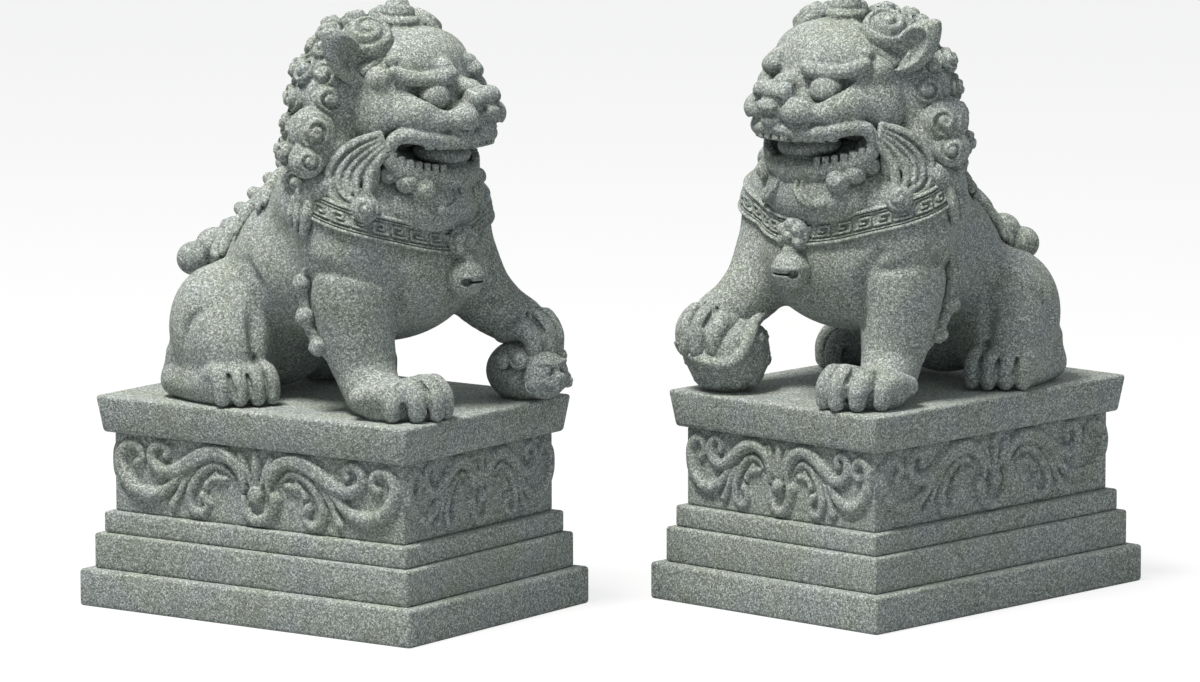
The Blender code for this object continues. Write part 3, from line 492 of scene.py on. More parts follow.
def add_node(tree, kind, links=(), **settings):
    """A node with its settings; links are (input, source node, output)."""
    node = tree.nodes.new(kind)
    for key, value in settings.items():
        if key.startswith("in_"):
            number = key[3:]
            node.inputs[int(number) if number.isdigit() else number.replace("_", " ")].default_value = value
        else:
            setattr(node, key, value)
    for target, source, output in links:
        tree.links.new(source.outputs[output], node.inputs[target])
    return node


def ramp(tree, source, output, stops):
    """A colour ramp with a stop for each place and colour."""
    node = add_node(tree, "ShaderNodeValToRGB", [("Fac", source, output)])
    elements = node.color_ramp.elements
    while len(elements) < len(stops):
        elements.new(0.5)
    for element, (place, color) in zip(elements, stops):
        element.position = place
        element.color = linear(color)
    return node


def stone_material():
    """Cast stone: cement and stone powder with dark and light grains, struck from a mould.

    The eye sees a matt grey-green with grains of about half a millimetre, small pits, and
    painted shade that darkens the hollows of the carving.
    """
    name = "cast stone, grey-green grain"
    if name in bpy.data.materials:
        return bpy.data.materials[name]
    settings = bpy.context.scene.lion_stone
    material = bpy.data.materials.new(name)
    material.use_nodes = True
    tree = material.node_tree
    shader = tree.nodes["Principled BSDF"]
    shader.inputs["Roughness"].default_value = 0.88
    shader.inputs["IOR"].default_value = 1.5
    shader.inputs["Specular IOR Level"].default_value = 0.3
    place = add_node(tree, "ShaderNodeTexCoord")
    grain = 1.0 / (settings.grain * MM)
    cells = add_node(tree, "ShaderNodeTexVoronoi", [("Vector", place, "Object")], feature="F1",
                     in_Scale=grain, in_Randomness=1.0)
    pick = add_node(tree, "ShaderNodeSeparateColor", [("Color", cells, "Color")])
    speckle = ramp(tree, pick, "Red",
                   [(0.0, settings.dark), (0.16, settings.dark), (0.34, settings.middle),
                    (0.70, settings.middle), (0.90, settings.light), (1.0, settings.light)])
    fine = add_node(tree, "ShaderNodeTexNoise", [("Vector", place, "Object")], in_Scale=1.7 * grain,
                    in_Detail=2.0, in_Roughness=0.6)
    dust = ramp(tree, fine, "Fac", [(0.30, "#4c504b"), (0.5, settings.middle), (0.72, "#c6cac1")])
    mixed = add_node(tree, "ShaderNodeMix", [("A", speckle, "Color"), ("B", dust, "Color")],
                     data_type="RGBA", in_Factor=0.45)
    cloud = add_node(tree, "ShaderNodeTexNoise", [("Vector", place, "Object")],
                     in_Scale=1.0 / (CLOUD_SIZE * MM), in_Detail=3.0)
    tint = ramp(tree, cloud, "Fac", [(0.35, "#f8faff"), (0.5, "#ffffff"), (0.66, "#f4f5ee")])
    tinted = add_node(tree, "ShaderNodeMix", [("A", mixed, "Result"), ("B", tint, "Color")],
                      data_type="RGBA", blend_type="MULTIPLY", in_Factor=1.0)
    # Painted shade: ambient occlusion darkens the stone's colour in its hollows and creases, where shade
    # falls
    hollow = add_node(tree, "ShaderNodeAmbientOcclusion", in_Distance=HOLLOW_REACH * MM, samples=6,
                      only_local=True)
    crevice_shade = ramp(tree, hollow, "AO", [(0.0, "#3c423f"), (0.45, "#a4aaa6"), (0.85, "#ffffff")])
    shaded = add_node(tree, "ShaderNodeMix", [("A", tinted, "Result"), ("B", crevice_shade, "Color")],
                    data_type="RGBA", blend_type="MULTIPLY", in_Factor=1.0)
    tree.links.new(shaded.outputs["Result"], shader.inputs["Base Color"])
    pit_cells = add_node(tree, "ShaderNodeTexVoronoi", [("Vector", place, "Object")], feature="F1",
                         in_Scale=1.0 / (PIT_SPACING * MM), in_Randomness=1.0)
    pits = add_node(tree, "ShaderNodeMapRange", [("Value", pit_cells, "Distance")], in_1=0.10, in_2=0.22,
                    in_3=0.0, in_4=1.0)
    rough = add_node(tree, "ShaderNodeTexNoise", [("Vector", place, "Object")],
                     in_Scale=1.0 / (ROUGHNESS_SIZE * MM), in_Detail=3.0, in_Roughness=0.65)
    height = add_node(tree, "ShaderNodeMath", [(0, rough, "Fac"), (1, pits, "Result")],
                      operation="MULTIPLY")
    bump = add_node(tree, "ShaderNodeBump", [("Height", height, "Value")], in_Strength=0.55,
                    in_Distance=BUMP_HEIGHT * MM)
    tree.links.new(bump.outputs["Normal"], shader.inputs["Normal"])
    return material


# Pedestal


def lattice(half, edge, spacing):
    """Positions across a rounded block: close in the rounded edges, even between them."""
    ease = [edge * (1.0 - math.cos(math.pi / 2 * k / 3)) for k in range(3)]
    inner = half - edge
    count = max(2, int(round(2 * inner / spacing)))
    middle = np.linspace(-inner, inner, count + 1)
    return np.concatenate([[-half + e for e in ease], middle, [half - e for e in ease[::-1]]])


def rounded_block(length, width, height, edge, spacing, flare=0.0, relief=None):
    """Points and quads of a block that stands on z = 0; relief lifts the four sides."""
    rows = [lattice(half, edge, spacing) for half in (length / 2, width / 2, height / 2)]
    halves = vec(length / 2, width / 2, height / 2)
    points, faces = [], []
    index = {}

    def point_at(i, j, k):
        key = (i, j, k)
        if key not in index:
            index[key] = len(points)
            points.append((rows[0][i], rows[1][j], rows[2][k]))
        return index[key]

    counts = [len(row) - 1 for row in rows]
    for axis in range(3):
        a, b = (axis + 1) % 3, (axis + 2) % 3
        for end in (0, counts[axis]):
            for i in range(counts[a]):
                for j in range(counts[b]):
                    quad = []
                    for di, dj in ((0, 0), (1, 0), (1, 1), (0, 1)):
                        spot = [0, 0, 0]
                        spot[axis], spot[a], spot[b] = end, i + di, j + dj
                        quad.append(point_at(*spot))
                    faces.append(quad if end else quad[::-1])
    points = np.array(points)
    outer = points.copy()
    inner = np.clip(points, -(halves - edge), halves - edge)
    away = points - inner
    length_away = np.linalg.norm(away, axis=1, keepdims=True)
    points = inner + away / np.maximum(length_away, 1e-9) * edge
    if relief is not None:
        for axis in range(2):
            for sign in (-1.0, 1.0):
                on_face = np.abs(outer[:, axis] - sign * halves[axis]) < 1e-9
                across = outer[on_face, 1 - axis]
                points[on_face, axis] += sign * relief(across * (sign if axis == 0 else -sign),
                                                       outer[on_face, 2], halves[1 - axis], halves[2])
    if flare:
        grow = flare * (points[:, 2] / height + 0.5)
        points[:, 0] += np.sign(points[:, 0]) * grow * np.abs(points[:, 0]) / halves[0]
        points[:, 1] += np.sign(points[:, 1]) * grow * np.abs(points[:, 1]) / halves[1]
    points[:, 2] += height / 2
    return points, np.array(faces)


def course_of(who, node):
    """Length, width, base and height of a packed course, in millimetres."""
    low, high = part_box(f"{who}_{node}")
    c, s = abs(math.cos(HEADINGS[who])), abs(math.sin(HEADINGS[who]))
    wide, deep = (high.x - low.x) / MM, (high.y - low.y) / MM
    length = (wide * c - deep * s) / (c * c - s * s)
    width = (deep * c - wide * s) / (c * c - s * s)
    return length, width, low.z / MM, (high.z - low.z) / MM


# Frieze carving: a palmette between running scrolls


def stroke(x, y, points, radii, steps=5):
    """Height of a half-round stem through points, from 0 at its edge to its radius."""
    points, radii = smooth_path(np.array([(a, b, 0.0) for a, b in points]), np.array(radii, float), steps)
    height = np.zeros(np.shape(x))
    for i in range(len(points) - 1):
        a, b = points[i, :2], points[i + 1, :2]
        way = b - a
        length = max(float(way @ way), 1e-9)
        along = np.clip(((x - a[0]) * way[0] + (y - a[1]) * way[1]) / length, 0.0, 1.0)
        distance = np.hypot(x - a[0] - along * way[0], y - a[1] - along * way[1])
        radius = radii[i] + along * (radii[i + 1] - radii[i])
        height = np.maximum(height, radius * np.sqrt(np.clip(1.0 - (distance / radius) ** 2, 0.0, 1.0)))
    return height


# Half the length that the carving is drawn for, and the half length from which a face is a long one
DRAWN_HALF = 62.0
LONG_HALF = 50.0
# Centre lines of the carving's right half, each with its widths
ARCH = [(5.4, -1.0), (6.0, 3.4), (9.4, 8.0), (15.4, 10.2), (22.0, 9.2), (28.0, 6.2), (33.8, 3.0),
        (39.6, 2.0), (44.4, 4.4), (45.0, 8.4), (41.8, 10.8), (38.2, 9.4), (38.8, 6.9)]
ARCH_WIDTHS = [1.4, 2.0, 2.6, 2.9, 3.0, 2.9, 2.6, 2.4, 2.3, 2.1, 1.9, 1.7, 1.8]
CORNER = [(29.6, 3.6), (33.6, 0.2), (39.0, -4.2), (45.8, -6.2), (53.0, -4.6), (58.0, 0.6), (58.8, 6.0),
          (55.4, 9.6), (50.8, 9.0), (49.2, 5.6), (51.8, 3.6)]
CORNER_WIDTHS = [0.9, 1.8, 2.3, 2.5, 2.6, 2.5, 2.3, 2.1, 1.9, 1.7, 1.7]
LEAF = [(9.8, 2.6), (15.0, 6.0), (21.0, 4.8), (25.6, 0.8), (28.6, -4.6), (27.4, -9.4), (23.4, -10.4),
        (20.8, -7.4), (22.6, -4.6)]
LEAF_WIDTHS = [0.7, 1.5, 1.8, 1.8, 1.9, 1.9, 1.8, 1.6, 2.0]
SPRIG = [(25.4, 4.4), (30.2, 0.0), (33.4, -5.0), (35.8, -8.8)]
LOBES = [[(13.0, 1.8), (17.6, 1.4)], [(17.0, 3.6), (20.8, -0.4), (21.2, -1.4)]]


def frieze_relief(x, z, half_length, half_height):
    """Height of the carving on a face, in millimetres; below the palmette a hook runs to one side."""
    squeeze = half_length / DRAWN_HALF
    girth = 0.5 + 0.5 * squeeze
    side = np.abs(x)
    toward = x if half_length > LONG_HALF else -x
    height = np.zeros(np.shape(x))
    for across, points, radii in (
            (side, ARCH, ARCH_WIDTHS), (side, CORNER, CORNER_WIDTHS), (side, LEAF, LEAF_WIDTHS),
            (side, SPRIG, [0.7, 1.5, 1.5, 2.0]), (side, LOBES[0], [1.4, 1.6]),
            (side, LOBES[1], [0.9, 1.5, 1.6]),
            (side, [(0.0, 1.0), (0.0, 6.0), (0.0, 11.0)], [1.2, 2.0, 1.7]),
            (side, [(2.0, 0.6), (4.4, 5.6), (6.6, 10.4)], [1.0, 1.8, 1.5]),
            (side, [(0.0, -2.4), (0.1, -2.4)], [3.2, 3.2]),
            (toward, [(-5.4, -3.4), (-4.4, -8.0), (-0.4, -10.8), (4.4, -9.6), (7.6, -6.0), (8.4, -2.8)],
             [1.2, 2.0, 2.2, 2.2, 2.1, 2.7])):
        points = [(a * squeeze, b) for a, b in points]
        height = np.maximum(height, stroke(across, z, points, [girth * r for r in radii]))
    ends, edges = half_length - side, (half_height - np.abs(z)) / 0.6
    margin = np.clip(ends, 0.0, 1.0) * np.clip(edges, 0.0, 1.0)
    return np.minimum(0.95 * height, FRIEZE_HEIGHT) * margin


# Body


def near(x, y, z):
    """A point on the near side, written with its distance from the middle."""
    return vec(x, -y, z)


def nears(*spots):
    """Points on the near side, each written in that way."""
    return [near(*spot) for spot in spots]


def body_clay(step):
    """Torso, haunches and both forelegs in one block."""
    clay = Clay((-56, -54, -2), (74, 54, 94), step)
    clay.lay(Lump((20, 0, 47), (32, 34, 27)), Lump((18, 0, 66), (32, 36, 24)), blend=6.0)
    clay.lay(Lump((-5.5, 0, 44), (30, 30, 26), (0, -22, 0)), Lump((-25, 0, 27), (18, 27, 26), (0, -10, 0)),
             blend=8.0)
    clay.both(Lump(near(26, 25, 60), (15.5, 15.0, 18)), blend=6.0)
    haunches(clay)
    standing_foreleg(clay)
    raised_foreleg(clay)
    for line, radii in (
            (((38, 27, 50), (41.5, 22.5, 44), (44.5, 20.5, 34.5), (42, 16.5, 24)), [0.5, 1.3, 1.5, 0.8]),
            (((29, 40, 50), (19, 38, 44), (14, 35, 35), (14.5, 31, 25)), [0.3, 0.8, 0.9, 0.6]),
            (((-14, 31, 47), (-7.5, 32, 38), (-5, 33, 27), (-6, 33, 16)), [0.6, 1.6, 1.9, 1.4]),
            (((42, 27, 44), (36, 36, 46.5), (28, 40, 48), (20, 40, 50)), [0.2, 0.6, 0.7, 0.2])):
        clay.carve(Rope([clay.onto(near(*spot), 0.0) for spot in line], radii), blend=3.2)
    clay.carve(Block((9, 0, -4.5), (80, 70, 4.0), 0.1), blend=0.2)
    return clay


def haunches(clay):
    """Folded hind legs: thigh, shank with its crease, hock and a paw of four tall toes."""
    clay.both(Lump(near(-25.5, 25, 22), (18, 18, 22.5), (0, -12, 0)), blend=4.0)
    clay.both(Lump(near(-18.5, 30, 18), (12.5, 13.5, 17.5), (0, -10, 0)), blend=2.5)
    crease = Rope(nears((-20, 40, 33), (-25.5, 42, 27.5), (-28.5, 43, 20), (-29, 42.5, 12), (-27, 41, 7)),
                  [0.4, 1.1, 1.3, 1.1, 0.4])
    clay.both(crease, blend=2.2, carve=True)
    clay.both(Rope(nears((-38.5, 33, 6), (-27, 35.5, 6.0), (-16, 37, 7.0), (-11, 36, 7.5)),
                   [5.6, 6.6, 7.8, 7.0]), blend=3.0)
    clay.both(Rope(nears((-39.5, 32, 6), (-38, 34.5, 15)), [5.0, 3.6]), blend=2.5)
    tips = ((-12.0, 43.5), (-7.4, 40.0), (-3.6, 35.6), (-1.6, 30.5))
    for x, y in tips:
        toe = Rope(nears((x - 9, y - 3, 8), (x - 3.8, y - 0.8, 11.4), (x - 0.6, y, 8.2), (x, y, 3.0)),
                   [3.0, 3.1, 3.0, 2.6])
        clay.both(toe, blend=0.7)
    for (x, y), (next_x, next_y) in zip(tips, tips[1:]):
        mx, my = (x + next_x) / 2, (y + next_y) / 2
        clay.both(Rope(nears((mx - 6, my - 1.6, 15.5), (mx - 0.6, my + 0.4, 10.5), (mx + 2.0, my + 0.9, 5),
                             (mx + 2.0, my + 0.9, 0)), [0.3, 0.6, 0.7, 0.7]), blend=0.8, carve=True)


def paw(clay, tips, back, knuckle_height, radius, claw=True):
    """Four toes that bend over their knuckles, with a notch between each two."""
    toes = list(zip(tips, knuckle_height))
    for (x, y, z), high in toes:
        heel = vec(x - back, y, high - 1.5)
        knuckle = vec(x - 0.38 * back, y, high)
        bend = vec(x - 0.06 * back, y, 0.62 * high + 0.38 * z)
        tip = vec(x, y, z)
        clay.lay(Rope([heel, knuckle, bend, tip], [radius, 1.08 * radius, 0.96 * radius, 0.8 * radius]),
                 blend=0.5)
        clay.lay(Lump(knuckle + vec(0.6, 0, 0.7), 0.95 * radius), blend=0.5)
        if claw:
            clay.lay(Rope([tip + vec(0.3, 0, 0.6), tip + vec(2.2, 0, -1.0)], [1.5, 0.7], 1), blend=0.3)
    for ((x, y, z), high), ((next_x, next_y, _), next_high) in zip(toes, toes[1:]):
        middle_x, middle_y, top = (x + next_x) / 2, (y + next_y) / 2, (high + next_high) / 2 + radius
        clay.carve(Rope([vec(middle_x - 0.6 * back, middle_y, top + 0.8),
                         vec(middle_x - 0.3 * back, middle_y, top - 0.2),
                         vec(middle_x + 1.0, middle_y, 0.6 * top + 0.4 * z)], [0.4, 0.8, 0.7]), blend=0.6)


def standing_foreleg(clay):
    """The near foreleg, planted."""
    clay.lay(Rope(nears((26.5, 26, 52), (27.5, 25.5, 38), (28.5, 24.5, 26), (31.5, 24.5, 15),
                        (36, 26.5, 8)), [14.2, 13.8, 12.6, 10.2, 9.2]), blend=4.0)
    clay.lay(Lump(near(46, 29.5, 5.5), (11.5, 11.0, 7.6)), blend=3.5)
    paw(clay, nears((52.5, 37.8, 3.0), (59.0, 33.2, 3.0), (62.2, 27.2, 3.0), (61.5, 21.4, 3.0)), 13.0,
        (8.6, 9.8, 11.0, 10.6), 3.6)
    clay.lay(Lump(near(54.0, 24.0, 11.6), (3.6, 3.2, 3.0)), blend=0.8)
    clay.carve(Lump(near(56.5, 26.4, 12.8), 1.0), blend=0.5)


def raised_foreleg(clay):
    """The far foreleg, reaching forward onto what lies under its paw."""
    clay.lay(Rope([vec(27, 26, 54), vec(32.0, 26.8, 45), vec(38.5, 28, 35), vec(45.5, 30.5, 28.5),
                   vec(52, 33, 25)], [14.2, 12.8, 11.0, 9.4, 8.2]), blend=4.0)
    paw(clay, [vec(62.5, 26.4, 15.5), vec(64.6, 31.6, 15.0), vec(63.6, 36.8, 15.0), vec(60.5, 41.4, 15.5)],
        12.5, (23.0, 25.0, 25.6, 23.6), 3.4, claw=False)


# Head


def head_clay(step):
    """Skull, cheeks, brows, eyes, nose, muzzle and upper lip; the head isn't turned yet."""
    clay = Clay((4, -36, 80), (72, 36, 130), step)
    clay.lay(Lump((29, 0, 102), (24, 25.5, 20)), Lump((35.5, 0, 112.6), (14.8, 21.5, 11.2)), blend=4.0)
    clay.both(Lump(near(42.5, 14.6, 97.4), (11.0, 10.6, 8.6)),
              Lump(near(31.0, 18.6, 96.5), (9.5, 9.0, 11.0)), blend=3.0)
    clay.both(Lump(near(33.0, 22.2, 108.6), (5.0, 4.2, 4.6)), blend=1.5)
    clay.lay(Lump((48.5, 0, 95.5), (13, 17.5, 7.0)), blend=3.0)
    nose_and_lips(clay)
    eyes_and_brows(clay)
    mouth_edge(clay)
    return clay


def eyes_and_brows(clay):
    """A ball of an eye in a half-moon socket, under a brow with a wavy upper edge."""
    brow = Rope(nears((51.6, 8.8, 109.6), (50.2, 13.0, 108.9), (47.2, 17.0, 108.6), (43.4, 20.2, 109.4),
                      (39.2, 22.4, 111.4)), [3.1, 2.7, 2.7, 2.6, 2.1])
    clay.both(brow, blend=1.2)
    clay.both(Lump(near(49.6, 8.6, 112.6), (2.8, 3.2, 2.4)), blend=1.6)
    lid = Rope(nears((42.4, 17.4, 103.8), (46.6, 17.0, 99.6), (50.4, 14.8, 96.9), (53.4, 11.2, 97.2),
                     (54.8, 7.8, 100.4)), [1.6, 2.1, 2.3, 2.2, 1.4])
    clay.both(lid, blend=1.6)
    socket = Rope(nears((43.4, 20.6, 106.0), (48.2, 18.0, 103.8), (52.6, 14.2, 102.5), (55.4, 9.7, 103.1),
                        (55.2, 6.8, 105.2)), [0.8, 2.8, 4.0, 3.2, 0.9])
    clay.both(socket, blend=0.4, carve=True)
    clay.both(Lump(near(47.9, 13.6, 102.7), 5.8), blend=0.15)
    wave = ((52.2, 10.0, 112.6), (50.6, 12.8, 110.9), (48.8, 15.0, 111.9), (46.4, 17.4, 110.7),
            (44.2, 19.2, 111.8), (41.6, 21.0, 111.8), (39.2, 22.4, 113.6))
    line = Rope([clay.onto(near(*spot), 0.1) for spot in wave], [0.3, 0.5, 0.6, 0.6, 0.6, 0.5, 0.3])
    clay.both(line, blend=0.6, carve=True)
    clay.both(Lump(clay.onto(near(37.6, 22.4, 115.4), 0.0), 2.1), blend=0.4)


def nose_and_lips(clay):
    """A snub nose with round wings over full whisker pads and a thick rolled lip."""
    for center, radii, blend in (
            ((54.0, 0, 104.2), (4.6, 4.4, 3.6), 1.8), ((59.4, 0, 102.2), (4.2, 4.2, 3.6), 1.2),
            ((61.0, 0, 97.3), (4.0, 4.8, 2.8), 1.2), ((59.6, 0, 92.4), (3.6, 4.6, 2.8), 0.7)):
        clay.lay(Lump(center, radii), blend=blend)
    for center, radii, blend in (
            (near(55.2, 9.6, 95.7), (7.2, 6.6, 5.6), 0.8), (near(49.0, 15.4, 95.6), (6.8, 5.4, 4.6), 1.2),
            (near(58.9, 5.4, 101.7), (4.0, 3.5, 3.8), 0.6)):
        clay.both(Lump(center, radii), blend=blend)
    clay.both(Lump(near(62.3, 5.4, 99.4), (1.6, 1.8, 1.6)), blend=0.4, carve=True)
    clay.both(Rope(nears((55.2, 6.8, 105.0), (54.8, 9.0, 102.2), (56.8, 9.2, 99.6), (60.4, 7.6, 98.0)),
                   [0.4, 0.6, 0.6, 0.5]), blend=0.6, carve=True)
    lip = Rope([vec(59.6, 0, 90.2), near(59.2, 4.2, 89.8), near(57.0, 9.6, 89.2), near(53.6, 14.8, 89.2),
                near(49.2, 19.4, 90.2), near(44.6, 23.0, 91.2), near(40.6, 25.2, 90.2),
                near(38.6, 25.9, 86.6)], [2.1, 2.2, 2.6, 2.8, 2.8, 2.7, 2.4, 2.1])
    clay.both(lip, blend=0.4)
    crease = Rope(nears((61.6, 5.6, 92.6), (59.8, 10.8, 92.2), (56.4, 16.4, 92.4), (51.6, 21.4, 93.6),
                        (46.2, 25.2, 94.6), (40.6, 27.2, 93.4)), [0.4, 0.9, 1.0, 1.0, 0.9, 0.4])
    clay.both(crease, blend=0.5, carve=True)


def mouth_edge(clay):
    """The roof of the mouth, the front teeth and the row of teeth in the lip's lower edge."""
    clay.carve(Lump((46.5, 0, 82.0), (16.0, 20.0, 6.0)), blend=0.8)
    row = ((59.0, 2.0), (58.6, 5.6), (57.0, 9.2), (54.8, 12.4), (52.2, 15.4), (49.2, 18.0))
    for place, (x, y) in enumerate(row):
        z = 88.4 - 0.14 * place + 0.02 * place * place
        turn = -math.degrees(math.atan2(y, x - 40.0)) * 0.9
        clay.both(Block(near(x, y, z), (1.6, 1.6, 2.5 - 0.1 * place), 0.7, (0, -8, turn)), blend=0.25)


def jaw_clay(step):
    """Lower jaw with a band of square teeth, the tongue and a broad smooth chin."""
    clay = Clay((20, -32, 62), (64, 32, 92), step)
    clay.lay(Lump((38.5, 0, 76.0), (13.0, 20.0, 7.0)), Lump((46.4, 0, 74.8), (8.4, 12.5, 5.6)), blend=3.0)
    clay.both(Lump(near(31.5, 18.0, 81.0), (7, 6.0, 7.0)), blend=2.0)
    band = Rope([near(38.4, 24.8, 83.0), near(41.0, 22.8, 80.2), near(44.6, 18.8, 78.2),
                 near(47.8, 13.8, 76.8), near(50.2, 8.8, 76.2), near(51.4, 4.2, 76.0), vec(51.6, 0, 76.0)],
                [2.6, 2.9, 3.0, 3.1, 3.2, 3.2, 3.2])
    clay.both(band, blend=1.2)
    clay.carve(Lump((40.0, 0, 84.2), (11.0, 16.0, 5.0)), blend=0.6)
    path, _ = smooth_path(np.array([near(38.6, 25.6, 85.2), near(41.4, 23.8, 82.8), near(45.2, 19.8, 80.8),
                                    near(48.6, 14.6, 79.4), near(51.2, 9.2, 78.8), near(52.7, 4.4, 78.5),
                                    vec(53.0, 0.0, 78.5)]), np.ones(7), 4)
    along = lengths_along(path)
    for place in np.arange(1.6, 0.66 * along[-1], 3.0):
        spot = np.array([np.interp(place, along, path[:, k]) for k in range(3)])
        ahead = np.array([np.interp(place + 0.5, along, path[:, k]) for k in range(3)]) - spot
        turn = math.degrees(math.atan2(ahead[1], ahead[0])) if np.linalg.norm(ahead) > 1e-6 else 90.0
        away = unit(spot * (1.0, 1.0, 0.0) - vec(36.0, 0.0, 0.0))
        clay.both(Block(spot + 0.5 * away, (1.22, 1.5, 1.9), 0.35, (0, 0, turn)), blend=0.05)
    clay.lay(Lump((44.2, 0, 83.6), (8.8, 12.8, 4.5), (0, 14, 0)), blend=0.3)
    clay.carve(Rope([vec(36, 0, 89.4), vec(44, 0, 88.2), vec(51.2, 0, 84.2)], [0.6, 0.8, 0.3]), blend=0.9)
    return clay


def beard_clay(step):
    """Throat, bead curls along the jaw and a hooked lock on each side of the chin."""
    clay = Clay((14, -34, 52), (66, 34, 86), step)
    clay.lay(Lump((36.0, 0, 67.0), (18.5, 24.0, 14.0)), blend=2.0)
    beads = [Curl(near(x, y, z), near(0.72, 0.68, 0.05), r, r, 1.2, 1, 0.2, 0.14 * r)
             for x, y, z, r in ((37.2, 22.9, 78.2, 3.2), (42.6, 21.3, 75.8, 3.8), (47.0, 17.9, 73.2, 4.1))]
    clay.both(*beads, blend=0.3)
    spots = ((52.0, 4.4, 73.0), (53.0, 5.0, 69.8), (52.6, 7.2, 67.0), (51.0, 10.2, 65.4))
    for inner, radius in ((0.0, 1.2), (2.4, 1.0)):
        hook = [clay.onto(near(x, y + inner, z), 0.5) for x, y, z in spots]
        clay.both(Rope(hook, [0.6 * radius, radius, radius, radius]), blend=0.3)
    end = clay.onto(near(48.2, 13.0, 65.9), -0.3)
    clay.both(Curl(end, clay.slope(end), 3.0, 2.4, 1.2, -1, 0.1, 0.5), blend=0.4)
    return clay


# Hair


# Curls past this azimuth lie in the middle of the back and have no mirror image
LAST_PAIRED = 176


def mane_clay(step):
    """The mane: a mass behind the face covered with spiral curls."""
    clay = Clay((-18, -48, 60), (48, 48, 136), step)
    clay.lay(Lump((13.5, 0, 84.5), (18.5, 36, 20)), Lump((15.5, 0, 101.5), (18.5, 31.5, 21)), blend=5.0)
    clay.lay(Lump((22.5, 0, 117.0), (13, 22, 6.0)), blend=4.0)
    mass = Clay(clay.low, clay.low + clay.step * (clay.count - 1), clay.step)
    mass.field = clay.field.copy()
    discs = ((18.4, 29.9, 102.6, 6.0, 1), (15.9, 35.2, 92.4, 6.6, -1), (15.4, 38.4, 83.2, 5.0, 1))
    for x, y, z, r, hand in discs:
        ring = Curl(near(x - 0.8, y - 1.6, z), near(0.62, 0.78, 0.08), 1.22 * r, 0.75 * r, 2.4, hand, 0.1,
                    0.1 * r)
        clay.both(ring, blend=0.6)
        clay.both(Curl(near(x, y - 0.6, z), near(0.62, 0.78, 0.08), 0.95 * r, 0.85 * r, 1.9, hand,
                       0.3 * hand), blend=0.4)
    for level, (z, azimuths) in enumerate(((76.0, range(98, 181, 15)), (84.5, range(104, 181, 15)),
                                           (93.0, range(100, 181, 15)), (101.5, range(106, 181, 15)),
                                           (110.0, range(84, 181, 16)), (117.0, range(92, 181, 18)))):
        for place, azimuth in enumerate(azimuths):
            lay_curl(clay, mass, azimuth, z, 4.7, 1 if (place + level) % 2 else -1)
    top_hair(clay)
    return clay


def lay_curl(clay, mass, azimuth, z, radius, hand):
    """A curl on the mass, and its mirror image unless it lies in the middle."""
    a = math.radians(azimuth)
    spot = mass.skin((14, 0, z), (math.cos(a), -math.sin(a), 0.0))
    form = Curl(spot, mass.slope(spot), radius, 0.85 * radius, 1.7, hand, 0.2 + 0.13 * z)
    place = clay.lay if azimuth > LAST_PAIRED else clay.both
    place(form, blend=0.6)


def top_hair(clay):
    """A large oval spiral over each temple, smaller ones behind, and the ringed bun."""
    for center, normal, radius, height, turns, hand, spin, depth, blend in (
            (near(27.4, 18.6, 121.8), near(0.30, 0.50, 0.81), 8.6, 5.2, 2.4, -1, 0.1, 1.5, 0.7),
            (near(18.6, 8.6, 125.2), near(-0.10, 0.3, 0.95), 5.0, 4.2, 1.8, 1, 0.4, None, 0.6),
            (near(13.0, 18.4, 121.8), near(-0.3, 0.45, 0.85), 4.8, 4.0, 1.8, -1, 0.1, None, 0.6),
            (near(8.2, 7.4, 123.0), near(-0.5, 0.15, 0.85), 4.8, 4.0, 1.8, -1, 0.6, None, 0.6)):
        clay.both(Curl(center, normal, radius, height, turns, hand, spin, depth), blend=blend)
    hairline = ((35.4, 0.0, 122.6), (36.0, 6.0, 121.8), (35.6, 12.0, 120.2), (34.2, 17.4, 117.4),
                (31.8, 21.8, 114.2), (28.8, 24.6, 111.0))
    for offset in range(3):
        strand = Rope([near(x - 2.3 * offset, y, z + 0.3 * offset) for x, y, z in hairline],
                      [1.5, 1.6, 1.7, 1.7, 1.5, 1.1])
        clay.both(strand, blend=0.35)
    clay.lay(Lump((29.0, 0, 122.6), (6.6, 6.8, 5.0)), blend=1.0)
    for radius, height, girth in ((5.2, 125.4, 1.7), (3.6, 128.2, 1.7)):
        ring = [vec(29.0 + radius * math.cos(a), radius * math.sin(a), height)
                for a in np.radians(range(0, 361, 24))]
        clay.lay(Rope(ring, girth, 2), blend=0.4)
    clay.lay(Curl((29.0, 0, 129.6), (0.1, 0, 1.0), 4.8, 3.4, 1.7, 1, 0.0, 1.0), blend=0.5)


def ear_clay(step, root, tip, outward):
    """A pointed leaf of an ear, hollow near its root, with a small fold in the hollow."""
    clay = Clay(np.minimum(root, tip) - 12, np.maximum(root, tip) + 12, step)
    along = unit(tip - root)
    outward = unit(outward - along * (outward @ along))
    across = np.cross(along, outward)
    across = across if across[2] < 0 else -across
    rows = np.array([along, across, outward])
    length = np.linalg.norm(tip - root)
    middle = root + along * 0.46 * length + across * 0.8
    clay.lay(Lump(middle, (0.52 * length, 6.8, 3.8), axes=rows), blend=1.0)
    clay.lay(Rope([root - along, root + along * 0.5 * length, tip - along * 3.5, tip],
                  [5.2, 4.2, 2.6, 1.2]), blend=2.5)
    clay.carve(Lump(middle + outward * 4.4, (0.40 * length, 5.0, 4.6), axes=rows), blend=0.9)
    clay.lay(Rope([root + outward * 1.2 + across * 2.0, root + along * 4.5 + outward * 0.8 + across * 3.0,
                   root + along * 8.5 + outward * 0.4 + across * 1.6], [1.6, 1.4, 0.8]), blend=0.9)
    return clay


